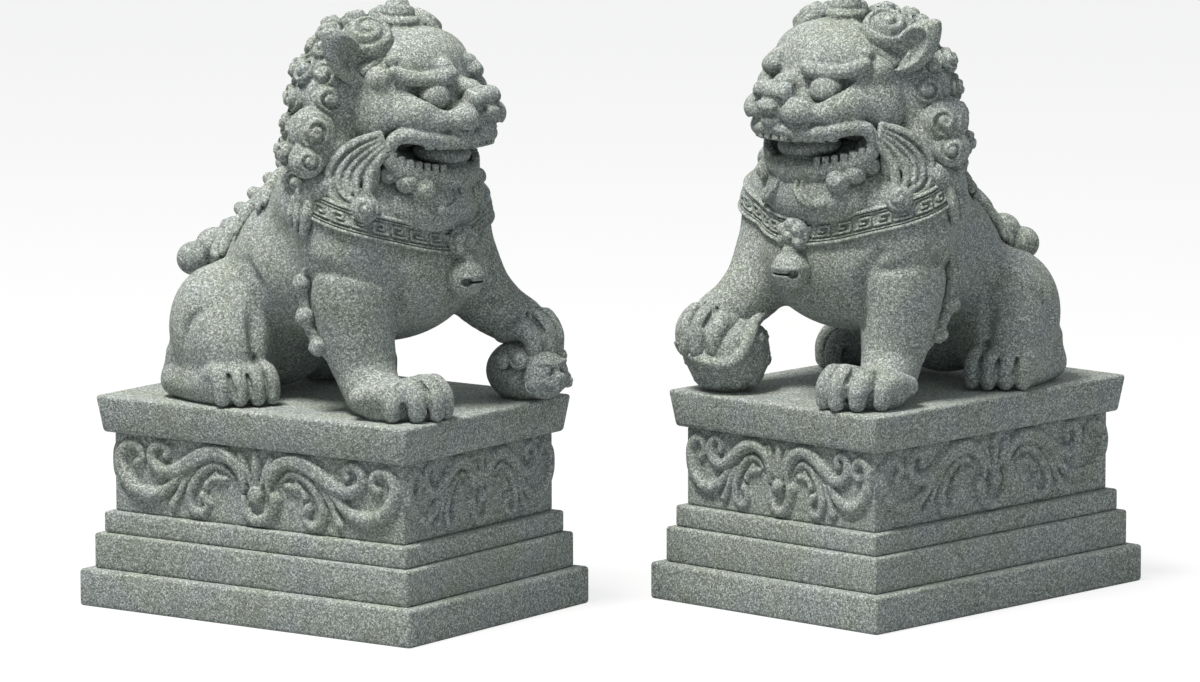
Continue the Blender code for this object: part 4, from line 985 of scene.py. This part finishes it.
def cheek_locks_clay(step):
    """A fan of strands that sweeps from the corner of the mouth and rolls up at the collar."""
    clay = Clay((12, -42, 58), (46, -18, 96), step)
    clay.lay(Lump(near(28.4, 26.6, 79.0), (7.0, 4.8, 10.0), (0, 10, 0)), blend=1.0)
    strands = (
        ([(35.4, 26.6, 91.2), (28.4, 29.4, 88.4), (22.6, 31.6, 83.4), (20.6, 33.0, 77.4),
          (22.4, 33.8, 72.2), (27.0, 34.0, 69.0), (31.4, 33.2, 68.2)], 2.0),
        ([(36.2, 26.8, 90.0), (29.8, 29.4, 86.6), (25.4, 31.6, 81.8), (24.0, 33.0, 76.8),
          (25.6, 33.6, 72.6), (28.8, 33.8, 70.8)], 1.6),
        ([(36.8, 26.8, 88.8), (31.4, 29.0, 85.2), (28.0, 31.2, 80.8), (27.0, 32.6, 76.6),
          (28.2, 33.4, 73.2)], 1.5),
        ([(37.4, 26.8, 87.6), (33.0, 28.6, 83.8), (30.4, 30.6, 79.6), (29.8, 32.0, 75.8),
          (30.8, 32.8, 72.6)], 1.5),
        ([(38.2, 26.6, 86.2), (35.2, 28.2, 82.4), (33.4, 29.6, 78.0), (33.2, 30.8, 73.8),
          (34.0, 31.4, 70.0)], 1.7),
    )
    for points, radius in strands:
        sizes = np.interp(np.linspace(0, 1, len(points)), [0, 0.2, 0.8, 1], [0.8, 1, 1, 0.85]) * radius
        clay.lay(Rope([near(*p) for p in points], sizes), blend=0.3)
    for (outer, _), (inner, _) in zip(strands, strands[1:]):
        a, b = (np.transpose([np.interp(np.linspace(0, len(line) - 1, 7), range(len(line)), axis)
                              for axis in zip(*line)]) for line in (outer, inner))
        groove = (0.5 * (a + b) + (0.0, 1.3, 0.0)) * MIRROR
        clay.carve(Rope(groove, [0.3, 0.5, 0.6, 0.6, 0.6, 0.5, 0.2]), blend=0.2)
    clay.lay(Curl(near(33.0, 32.4, 68.0), near(0.62, 0.78, 0.1), 4.9, 4.0, 1.7, 1, 0.35, 0.9), blend=0.4)
    return clay


# Ornaments


# Half the collar's width; its centre, half axes and rise from the front to the back of the neck
COLLAR_HALF = 4.6
COLLAR_CENTER = (18.0, 0.0, 55.5)
COLLAR_AXES = (36.0, 40.0)
COLLAR_RISE = 14.5
# Distance from the middle and half width of each rolled border; how far the key fret reaches
OUTER_ROLL = (3.85, 0.7)
INNER_ROLL = (2.75, 0.36)
FRET_REACH = 2.3
# Length of one key, half the height that its path is drawn for, and the half width of its line
KEY_PITCH = 7.0
KEY_HALF = 2.7
KEY_LINE = 0.62
KEY_PATH = ((0.0, -0.62), (0.78, -0.62), (0.78, 0.62), (0.26, 0.62), (0.26, -0.06), (0.5, -0.06))


def collar_path(count=421, arc=98.0):
    """Stations round the chest, each with its base point and its outward way."""
    stations = []
    for t in np.radians(np.linspace(-arc, arc, count)):
        rise = COLLAR_RISE * (1.0 - math.cos(t))
        outward = unit((math.cos(t) / COLLAR_AXES[0], math.sin(t) / COLLAR_AXES[1], 0.0))
        origin = vec(*COLLAR_CENTER) + vec(0.0, 0.0, rise)
        stations.append((origin + vec(math.cos(t), math.sin(t), 0.0), outward))
    return stations


def key_fret(s, v):
    """Height of a running key pattern; s runs along the band and v across it."""
    cell = (s / KEY_PITCH) % 1.0
    height = np.zeros(np.shape(s))
    for shift in (-1.0, 0.0, 1.0):
        for (ax, ay), (bx, by) in zip(KEY_PATH, KEY_PATH[1:]):
            ax, bx = (ax + shift) * KEY_PITCH, (bx + shift) * KEY_PITCH
            ay, by = ay * KEY_HALF, by * KEY_HALF
            way = (bx - ax, by - ay)
            length = way[0] ** 2 + way[1] ** 2
            px, py = cell * KEY_PITCH - ax, v * KEY_HALF - ay
            along = np.clip((px * way[0] + py * way[1]) / length, 0.0, 1.0)
            distance = np.hypot(px - along * way[0], py - along * way[1])
            height = np.maximum(height, np.clip((KEY_LINE - distance) / 0.3, 0.0, 1.0))
    return height


def collar_mesh(body):
    """A strap with rolled borders and a key fret between them, laid on the chest."""
    rows, probes = np.linspace(-1.0, 1.0, 45), np.linspace(-1.0, 1.0, 5)
    surface, outs = [], []
    for origin, outward in collar_path():
        line = np.array([body.skin(origin + vec(0, 0, v * COLLAR_HALF), outward) for v in probes])
        surface.append(np.transpose([np.interp(rows, probes, line[:, k]) for k in range(3)]))
        outs.append(outward)
    surface, outs = np.array(surface), np.array(outs)[:, None, :]
    for _ in range(20):
        surface[1:-1] = (surface[:-2] + 2 * surface[1:-1] + surface[2:]) / 4
    along = lengths_along(surface[:, len(rows) // 2])
    along -= along[-1] / 2
    v, s = rows[None, :], along[:, None]
    border = np.abs(v) * COLLAR_HALF
    outer, inner = (np.sqrt(np.clip(1.0 - ((border - middle) / half) ** 2, 0.0, 1.0))
                    for middle, half in (OUTER_ROLL, INNER_ROLL))
    fret = 0.75 * key_fret(np.abs(s) + 0 * v, v * COLLAR_HALF / 2.35 + 0 * s) * (border < FRET_REACH)
    lift = 0.9 + 1.1 * np.maximum(np.maximum(outer, 0.6 * inner), fret)
    top = surface + outs * lift[:, :, None]
    low, high = surface[:, :1] - outs * 2.5, surface[:, -1:] - outs * 2.5
    return tube_faces(np.concatenate([low, top, high], axis=1))


def tube_faces(rings):
    """A closed tube through rings of points, capped at both ends."""
    count, size = rings.shape[:2]
    points = rings.reshape(-1, 3)
    faces = []
    for i in range(count - 1):
        for j in range(size):
            k = (j + 1) % size
            faces.append((i * size + j, i * size + k, (i + 1) * size + k, (i + 1) * size + j))
    for start, flip in ((0, False), ((count - 1) * size, True)):
        ring = list(range(start, start + size))
        for j in range(1, size // 2):
            quad = (ring[j - 1], ring[j], ring[size - 1 - j], ring[size - j])
            faces.append(quad if flip else quad[::-1])
    faces = np.array(faces)
    a, b, c, d = (points[faces[:, k]] for k in range(4))
    center = points.mean(0)
    if np.einsum("ij,ij->i", a + b + c + d - 4 * center, np.cross(c - a, d - b)).sum() < 0.0:
        faces = faces[:, ::-1]
    return points, faces


def rosette_clay(step, front):
    """A rosette of six petals round a curl, on the front of the collar."""
    clay = Clay(front - vec(6, 10, 10), front + vec(10, 10, 10), step)
    normal = vec(1.0, 0.0, -0.1)
    clay.lay(Lump(front + vec(-0.5, 0, 0), (3.2, 6.2, 5.8)), blend=0.5)
    for i in range(6):
        a = math.radians(60 * i + 30)
        clay.lay(Lump(front + vec(2.0, 3.9 * math.cos(a), 3.7 * math.sin(a)), (2.0, 2.1, 2.1)), blend=0.5)
    clay.lay(Curl(front + vec(3.0, 0, 0), normal, 2.6, 2.0, 1.2, 1), blend=0.4)
    return clay


def bell_clay(step, front):
    """A round jingle bell with its slit and sound hole."""
    center = front + vec(1.4, 0.0, -11.4)
    clay = Clay(center - vec(10, 9, 9), center + vec(9, 9, 10), step)
    clay.lay(Lump(center, 6.5), blend=0.3)
    clay.lay(Lump(center + vec(0.6, 0, 6.4), (2.6, 2.6, 2.4)), blend=0.8)
    clay.carve(Lump(center + vec(4.4, -4.7, -0.8), (2.2, 1.9, 1.5), (0, 0, -47)), blend=0.4)
    clay.carve(Block(center + vec(6.2, 2.0, -0.8), (2.6, 6.0, 0.3), 0.2), blend=0.2)
    ring = [center + vec(6.0 * math.cos(a), 6.0 * math.sin(a), 1.1) for a in np.linspace(-1.9, 1.9, 16)]
    clay.lay(Rope(ring, 0.75, 1), blend=0.3)
    return clay


def tassel_clay(step, body):
    """A knob of hair behind the shoulder, and the strands that hang from it."""
    clay = Clay((-4, -56, 50), (34, -24, 84), step)
    clay.lay(Rope(nears((27.5, 33.0, 75.5), (23.0, 35.8, 74.0), (18.6, 37.6, 71.5)), [3.6, 5.0, 4.0]),
             blend=0.8)
    for i in range(3):
        points = nears((21.6 - 3.6 * i, 38.4, 70.5), (21.2 - 4.1 * i, 40.6, 65.5),
                       (20.0 - 3.9 * i, 40.6, 59.5 + i))
        clay.lay(Rope([body.onto(p, 1.6) for p in points], [1.7, 2.2, 1.5]), blend=0.2)
    return clay


# Ridge points and knobs down the back of the planted and of the raised foreleg
PLANTED_FRINGE = (nears((17.5, 37.5, 47.0), (15.6, 36.6, 42.0), (16.2, 36.3, 37.0), (16.8, 36.0, 31.5),
                        (18.6, 35.2, 26.0), (21.6, 34.0, 21.5), (25.5, 32.5, 15.5)),
                  nears((15.6, 36.8, 42.4), (16.8, 36.9, 31.6), (20.8, 35.2, 22.0)))
RAISED_FRINGE = ([vec(17.9, 35.1, 47.9), vec(23.8, 35.0, 39.5), vec(31.5, 35.0, 30.3),
                  vec(39.5, 36.5, 24.5)],
                 [vec(20.5, 35.6, 44.2), vec(27.2, 35.6, 35.2), vec(35.2, 36.2, 27.6)])


def fringe_clay(step, ridge, knobs):
    """Three knobs on a narrow ridge down the back of a foreleg."""
    clay = Clay(np.min(ridge, axis=0) - 7, np.max(ridge, axis=0) + 7, step)
    clay.lay(Rope(ridge, np.interp(np.linspace(0, 1, len(ridge)), [0, 0.15, 0.8, 1], [1.0, 1.9, 1.8, 0.8])),
             blend=0.5)
    for knob in knobs:
        outward = (-0.3, math.copysign(1.0, knob[1]), 0.0)
        clay.lay(Curl(knob, outward, 3.4, 3.2, 1.3, 1, 0.2, 0.5), blend=0.4)
    return clay


def spine_clay(step, body):
    """Flames of hair down the back, each with strands that hang on both flanks."""
    clay = Clay((-50, -26, 34), (6, 26, 92), step)
    for x in (-3.0, -11.0, -18.5, -25.5, -32.0):
        root = body.skin((x, 0, 30), (-0.25, 0, 1.0))
        up = body.slope(root)
        clay.lay(Rope([root - up, root + up * 3.0 + vec(-0.6, 0, 0), root + up * 5.4 + vec(-2.6, 0, 0)],
                      [4.0, 3.6, 2.2]), blend=0.6)
        for side, spread in ((5.5, 0.0), (10.0, 3.4)):
            points = [root + vec(1.5 + spread, -0.45 * side, -0.5), root + vec(3.0 + spread, -side, -3.5),
                      root + vec(5.4 + spread, -side - 2.2, -8.5),
                      root + vec(7.6 + spread, -side - 2.6, -12.5)]
            strand = Rope([body.onto(p, 1.1) for p in points], [2.2, 2.6, 2.3, 1.2])
            clay.both(strand, blend=0.3)
    return clay


def tail_clay(step, body):
    """A short tail of rounded lobes, most of them swept over the rump to the near side."""
    clay = Clay((-60, -32, 28), (-18, 16, 66), step)
    root = body.skin((-30, 0, 30), (-0.8, 0, 0.6))
    clay.lay(Lump(root, (7, 7, 6)), blend=1.0)
    for x, y, z, r in ((-36.0, -5.0, 51.0, 6.2), (-41.5, -10.0, 47.6, 6.0), (-46.5, -14.5, 43.4, 5.6)):
        clay.lay(Lump((x, y, z), r), blend=1.0)
    clay.lay(Lump((-36.0, 6.5, 47.0), 5.8), blend=1.0)
    return clay


# What lies under the raised paw


def ball_clay(step):
    """The embroidered ball, with a ribbon that sweeps round it and curls up at its end."""
    center, radius = vec(51.0, 30.5, 12.6), 14.0
    clay = Clay((32, 8, -2), (72, 50, 30), step)
    clay.lay(Lump(center, radius), blend=0.5)
    for azimuth in range(-180, 180, 40):
        for elevation in (-42, -8, 26):
            a = math.radians(azimuth + (20 if elevation == -8 else 0))
            e = math.radians(elevation)
            way = vec(math.cos(e) * math.cos(a), math.cos(e) * math.sin(a), math.sin(e))
            clay.lay(Curl(center + way * (radius - 0.8), way, 3.0, 1.7, 1.5, 1, 0.0, 0.6), blend=0.5)
    right, toward = vec(-0.683, -0.730, 0.0), vec(0.730, -0.683, 0.0)
    points = []
    for across, up in ((-17.0, 3.4), (-14.4, 0.8), (-8.4, -1.0), (-1.6, -2.2), (3.8, 0.6), (6.8, 6.0),
                       (8.6, 10.2), (11.4, 12.8), (12.4, 14.6), (12.4, 16.8)):
        depth = math.sqrt(max(14.2 ** 2 - across * across - up * up, 1.0))
        points.append(center + across * right + depth * toward + vec(0.0, 0.0, up))
    clay.lay(Rope(points, [0.8, 1.8, 2.0, 2.1, 2.2, 2.2, 2.1, 1.7, 1.2, 0.8]), blend=0.4)
    clay.carve(Block((51, 30, -3.5), (30, 30, 3.0), 0.1), blend=0.2)
    return clay


def cub_clay(step):
    """The cub curled under the paw, its face turned to the front and its mane in curls."""
    clay = Clay((36, 10, -2), (80, 54, 30), step)
    ahead, across, up = rows = np.array(((0.985, -0.17, 0.0), (0.17, 0.985, 0.0), (0.0, 0.0, 1.0)))
    face = vec(56.0, 30.0, 8.6) + 9.5 * ahead

    def at(forward, sideways, high):
        """A place measured from the middle of the face."""
        return face + forward * ahead + sideways * across + high * up

    clay.lay(Lump((55.0, 32.0, 9.0), (13.0, 13.0, 10.6)), blend=1.0)
    clay.lay(Lump(face, (6.2, 9.0, 7.8), axes=rows), blend=1.5)
    clay.lay(Lump(at(4.6, 0.0, -1.8), (3.4, 4.8, 3.4), axes=rows), blend=1.0)
    clay.lay(Lump(at(7.0, 0.0, 0.2), (1.6, 2.2, 1.5), axes=rows), blend=0.4)
    for side in (-1, 1):
        clay.carve(Lump(at(5.6, 3.4 * side, 2.2), (1.2, 2.2, 1.6), axes=rows), blend=0.5)
        clay.lay(Lump(at(4.2, 3.4 * side, 2.2), 1.5), blend=0.1)
        clay.lay(Rope([at(5.0, 1.2 * side, 4.2), at(3.4, 5.6 * side, 4.6)], [1.1, 0.9], 1), blend=0.5)
        outward = side * across
        for spot, normal, radius, height in (
                (at(2.4, 7.6 * side, -2.4), ahead + 0.9 * outward, 2.9, 2.2),
                (at(-2.6, 9.4 * side, 5.4), 0.6 * ahead + outward + 0.5 * up, 3.0, 2.4),
                (at(-8.0, 11.4 * side, 5.0), outward + 0.5 * up, 2.9, 2.2)):
            clay.lay(Curl(spot, normal, radius, height, 1.4, side), blend=0.4)
    mouth = [at(5.0, -4.6, -3.0), at(8.2, 0.0, -3.2), at(5.0, 4.6, -3.0)]
    clay.carve(Rope(mouth, [0.4, 0.6, 0.4]), blend=0.3)
    clay.carve(Block((56, 31, -3.5), (30, 30, 3.0), 0.1), blend=0.2)
    return clay


# Properties, operators and the panel


class LionStone(bpy.types.PropertyGroup):
    """Finish of the cast stone."""
    dark: bpy.props.StringProperty(name="Dark grain", description="Colour of the dark grains",
                                   default="#3a3f3c")
    middle: bpy.props.StringProperty(name="Stone", description="Colour of the stone between grains",
                                     default="#868e8a")
    light: bpy.props.StringProperty(name="Light grain", description="Colour of the light grains",
                                    default="#d8deda")
    grain: bpy.props.FloatProperty(name="Grain", description="Size of the grains in millimetres",
                                   default=0.42, min=0.1)


class LionSculpt(bpy.types.PropertyGroup):
    """Fineness of the sculpture."""
    body_step: bpy.props.FloatProperty(name="Body step", description="Grid step of the body in millimetres",
                                       default=0.8, min=0.3)
    fine_step: bpy.props.FloatProperty(name="Fine step",
                                       description="Grid step of heads and hair in millimetres",
                                       default=0.45, min=0.25)
    keep: bpy.props.FloatProperty(name="Kept faces", description="Share of the faces that is kept",
                                  default=0.5, min=0.1, max=1.0, subtype="FACTOR")


class LionStage(bpy.types.PropertyGroup):
    """Floor and lamps."""
    sky: bpy.props.FloatProperty(name="Sky", description="Strength of the even light", default=0.42,
                                 min=0.0)
    key: bpy.props.FloatProperty(name="Key lamp", description="Power of the main lamp", default=36.0,
                                 min=0.0, unit="POWER")
    fill: bpy.props.FloatProperty(name="Fill lamp", description="Power of the second lamp", default=1.5,
                                  min=0.0, unit="POWER")


# The body's clay, which the ornaments are laid on
shared = {}


def body_of(step):
    """The body's clay, modelled once."""
    if "body" not in shared:
        shared["body"] = body_clay(step)
    return shared["body"]


class LIONS_OT_pedestals(bpy.types.Operator):
    """Build the stepped pedestals with their carved frieze"""
    bl_idname = "lions.pedestals"
    bl_label = "Pedestals"

    def execute(self, context):
        for node, (edge, spacing) in COURSES.items():
            length, width, base, height = course_of("lioness", node)
            flare, relief, keep = 0.0, None, 1.0
            if node == "cap_slab":
                flare = CAP_FLARE
                length, width = length - 2 * flare, width - 2 * flare
            if node == "frieze_block":
                relief, keep = frieze_relief, FRIEZE_KEEP
                length, width = FRIEZE_GROUND
            points, faces = rounded_block(length, width, height + JOINT, edge, spacing, flare, relief)
            points[:, 2] = np.maximum(points[:, 2] + base - JOINT / 2, 0.0)
            cast(node, points, faces, [node], lift=0.0, keep=keep)
        return {"FINISHED"}


class LIONS_OT_bodies(bpy.types.Operator):
    """Sculpt the bodies with their haunches and forelegs"""
    bl_idname = "lions.bodies"
    bl_label = "Bodies"

    def execute(self, context):
        sculpt = context.scene.lion_sculpt
        points, faces = body_of(sculpt.body_step).mesh()
        cast("body", points, faces,
             ["torso", "left_haunch", "right_haunch", "standing_foreleg", "raised_foreleg"],
             keep=sculpt.keep)
        return {"FINISHED"}


class LIONS_OT_heads(bpy.types.Operator):
    """Sculpt the heads, the lower jaws and the beards"""
    bl_idname = "lions.heads"
    bl_label = "Heads"

    def execute(self, context):
        fine = context.scene.lion_sculpt.fine_step
        for node, form in (("head", head_clay), ("lower_jaw", jaw_clay), ("beard", beard_clay)):
            sculpted(context, node, form(fine), turned=True)
        return {"FINISHED"}


class LIONS_OT_hair(bpy.types.Operator):
    """Sculpt the manes, ears and cheek locks"""
    bl_idname = "lions.hair"
    bl_label = "Manes and ears"

    def execute(self, context):
        fine = context.scene.lion_sculpt.fine_step
        near_ear = ear_clay(fine, near(26.2, 20.5, 110.2), near(23.4, 39.6, 125.0), near(0.70, 0.55, 0.30))
        far_ear = ear_clay(fine, vec(25.6, 21.5, 111.0), vec(18.6, 36.6, 118.0), vec(0.45, 0.80, 0.30))
        for node, clay in (("mane", mane_clay(fine)), ("near_ear", near_ear), ("far_ear", far_ear)):
            sculpted(context, node, clay, turned=True)
        sculpted(context, "near_cheek_locks", cheek_locks_clay(fine), turned=True, paired=True)
        return {"FINISHED"}


class LIONS_OT_ornaments(bpy.types.Operator):
    """Lay the collars, bells, tassels, fringes, spines and tails on the bodies"""
    bl_idname = "lions.ornaments"
    bl_label = "Ornaments"

    def execute(self, context):
        sculpt = context.scene.lion_sculpt
        body, fine = body_of(sculpt.body_step), sculpt.fine_step
        front = body.skin((20, 0, 54.5), (1, 0, 0)) + vec(1.6, 0, 0)
        points, faces = collar_mesh(body)
        more_points, more_faces = rosette_clay(fine, front).mesh()
        cast("collar", np.vstack([points, more_points]), np.vstack([faces, more_faces + len(points)]),
             ["collar"], keep=sculpt.keep)
        sculpted(context, "bell", bell_clay(fine, front))
        sculpted(context, "near_tassel", tassel_clay(fine, body), paired=True)
        sculpted(context, "near_elbow_fringe", fringe_clay(fine, *PLANTED_FRINGE))
        sculpted(context, "far_elbow_fringe", fringe_clay(fine, *RAISED_FRINGE))
        sculpted(context, "spine_ridge", spine_clay(fine, body))
        sculpted(context, "tail", tail_clay(fine, body))
        return {"FINISHED"}


class LIONS_OT_companions(bpy.types.Operator):
    """Sculpt the cub and the ball under the raised paws"""
    bl_idname = "lions.companions"
    bl_label = "Cub and ball"

    def execute(self, context):
        fine = context.scene.lion_sculpt.fine_step
        sculpted(context, "cub", cub_clay(fine), statues=("lioness",))
        sculpted(context, "ball", ball_clay(fine), statues=("lion",))
        return {"FINISHED"}


class LIONS_OT_stage(bpy.types.Operator):
    """Set up the floor, the lamps and the camera"""
    bl_idname = "lions.stage"
    bl_label = "Stage"

    def execute(self, context):
        stage = context.scene.lion_stage
        build_stage(stage.sky, stage.key, stage.fill)
        return {"FINISHED"}


OPERATORS = (LIONS_OT_pedestals, LIONS_OT_bodies, LIONS_OT_heads, LIONS_OT_hair, LIONS_OT_ornaments,
             LIONS_OT_companions, LIONS_OT_stage)


class LIONS_PT_panel(bpy.types.Panel):
    """Guardian lions"""
    bl_idname = "LIONS_PT_panel"
    bl_label = "Guardian lions"
    bl_space_type = "VIEW_3D"
    bl_region_type = "UI"
    bl_category = "Lions"

    def draw(self, context):
        for operator in OPERATORS:
            self.layout.operator(operator.bl_idname)
        for group in (context.scene.lion_stone, context.scene.lion_sculpt, context.scene.lion_stage):
            for key in group.bl_rna.properties.keys():
                if key not in ("rna_type", "name"):
                    self.layout.prop(group, key)


CLASSES = (LionStone, LionSculpt, LionStage, *OPERATORS, LIONS_PT_panel)


def register():
    for cls in CLASSES:
        bpy.utils.register_class(cls)
    bpy.types.Scene.lion_stone = bpy.props.PointerProperty(type=LionStone)
    bpy.types.Scene.lion_sculpt = bpy.props.PointerProperty(type=LionSculpt)
    bpy.types.Scene.lion_stage = bpy.props.PointerProperty(type=LionStage)


def unregister():
    del bpy.types.Scene.lion_stage
    del bpy.types.Scene.lion_sculpt
    del bpy.types.Scene.lion_stone
    for cls in reversed(CLASSES):
        bpy.utils.unregister_class(cls)


# Stage


def area_lamp(name, place, size, power, color):
    """A round lamp that faces the statues."""
    data = bpy.data.lights.new(name, "AREA")
    data.shape = "DISK"
    data.size = size
    data.energy = power
    data.color = linear(color)[:3]
    lamp = bpy.data.objects.new(name, data)
    lamp.location = place
    lamp.rotation_euler = (Vector(LAMP_TARGET) - Vector(place)).to_track_quat("-Z", "Y").to_euler()
    bpy.context.scene.collection.objects.link(lamp)


def build_stage(sky, key, fill):
    """White paper floor, an even pale sky, a soft key lamp, a weak fill lamp and the camera."""
    scene = bpy.context.scene
    scene.view_settings.view_transform = "Standard"
    world = bpy.data.worlds.new("pale studio")
    world.use_nodes = True
    tree = world.node_tree
    tree.nodes.clear()
    path = add_node(tree, "ShaderNodeLightPath")
    seen = add_node(tree, "ShaderNodeMath", [(0, path, "Is Camera Ray"), (1, path, "Is Glossy Ray")],
                    operation="MAXIMUM")
    seen = add_node(tree, "ShaderNodeMath", [(0, seen, "Value"), (1, path, "Is Transmission Ray")],
                    operation="MAXIMUM")
    light = add_node(tree, "ShaderNodeBackground", in_Color=linear("#f4f7fb"), in_Strength=sky)
    white = add_node(tree, "ShaderNodeBackground", in_Color=(1, 1, 1, 1), in_Strength=1.0)
    mix = add_node(tree, "ShaderNodeMixShader",
                   [(0, seen, "Value"), (1, light, "Background"), (2, white, "Background")])
    add_node(tree, "ShaderNodeOutputWorld", [("Surface", mix, "Shader")])
    scene.world = world

    floor = bpy.data.objects.new("floor", bpy.data.meshes.new("floor"))
    reach = FLOOR_REACH
    floor.data.from_pydata([(-reach, -reach, 0), (reach, -reach, 0), (reach, reach, 0), (-reach, reach, 0)],
                           [], [(0, 1, 2, 3)])
    scene.collection.objects.link(floor)
    # White studio paper: the eye sees plain white with the statues' soft shadows
    paper = bpy.data.materials.new("white studio paper")
    paper.use_nodes = True
    tree = paper.node_tree
    tree.nodes.clear()
    path = add_node(tree, "ShaderNodeLightPath")
    matt = add_node(tree, "ShaderNodeBsdfDiffuse", in_Color=linear("#eef0f1"))
    dim = add_node(tree, "ShaderNodeBsdfDiffuse", in_Color=linear("#a6a9ab"))
    glow = add_node(tree, "ShaderNodeEmission", in_Color=(1, 1, 1, 1), in_Strength=1.0)
    part_glow = add_node(tree, "ShaderNodeMixShader", [(1, matt, "BSDF"), (2, glow, "Emission")], in_0=0.8)
    mix = add_node(tree, "ShaderNodeMixShader",
                   [(0, path, "Is Camera Ray"), (1, dim, "BSDF"), (2, part_glow, "Shader")])
    add_node(tree, "ShaderNodeOutputMaterial", [("Surface", mix, "Shader")])
    floor.data.materials.append(paper)

    area_lamp("key lamp", KEY_PLACE, 0.5, key, "#fffaf4")
    area_lamp("fill lamp", FILL_PLACE, 0.9, fill, "#eef5ff")

    camera = bpy.data.objects.new("camera", bpy.data.cameras.new("camera"))
    camera.location = CAMERA_PLACE
    camera.rotation_euler = CAMERA_TURN
    camera.data.lens = CAMERA_LENS
    camera.data.sensor_width = 36.0
    camera.data.clip_end = 30.0
    scene.collection.objects.link(camera)
    scene.camera = camera


def main():
    register()
    for operator in OPERATORS:
        group, name = operator.bl_idname.split(".")
        result = getattr(getattr(bpy.ops, group), name)()
        if result != {"FINISHED"}:
            raise RuntimeError(f"{operator.bl_label} did not finish")


if __name__ == "__main__":
    main()
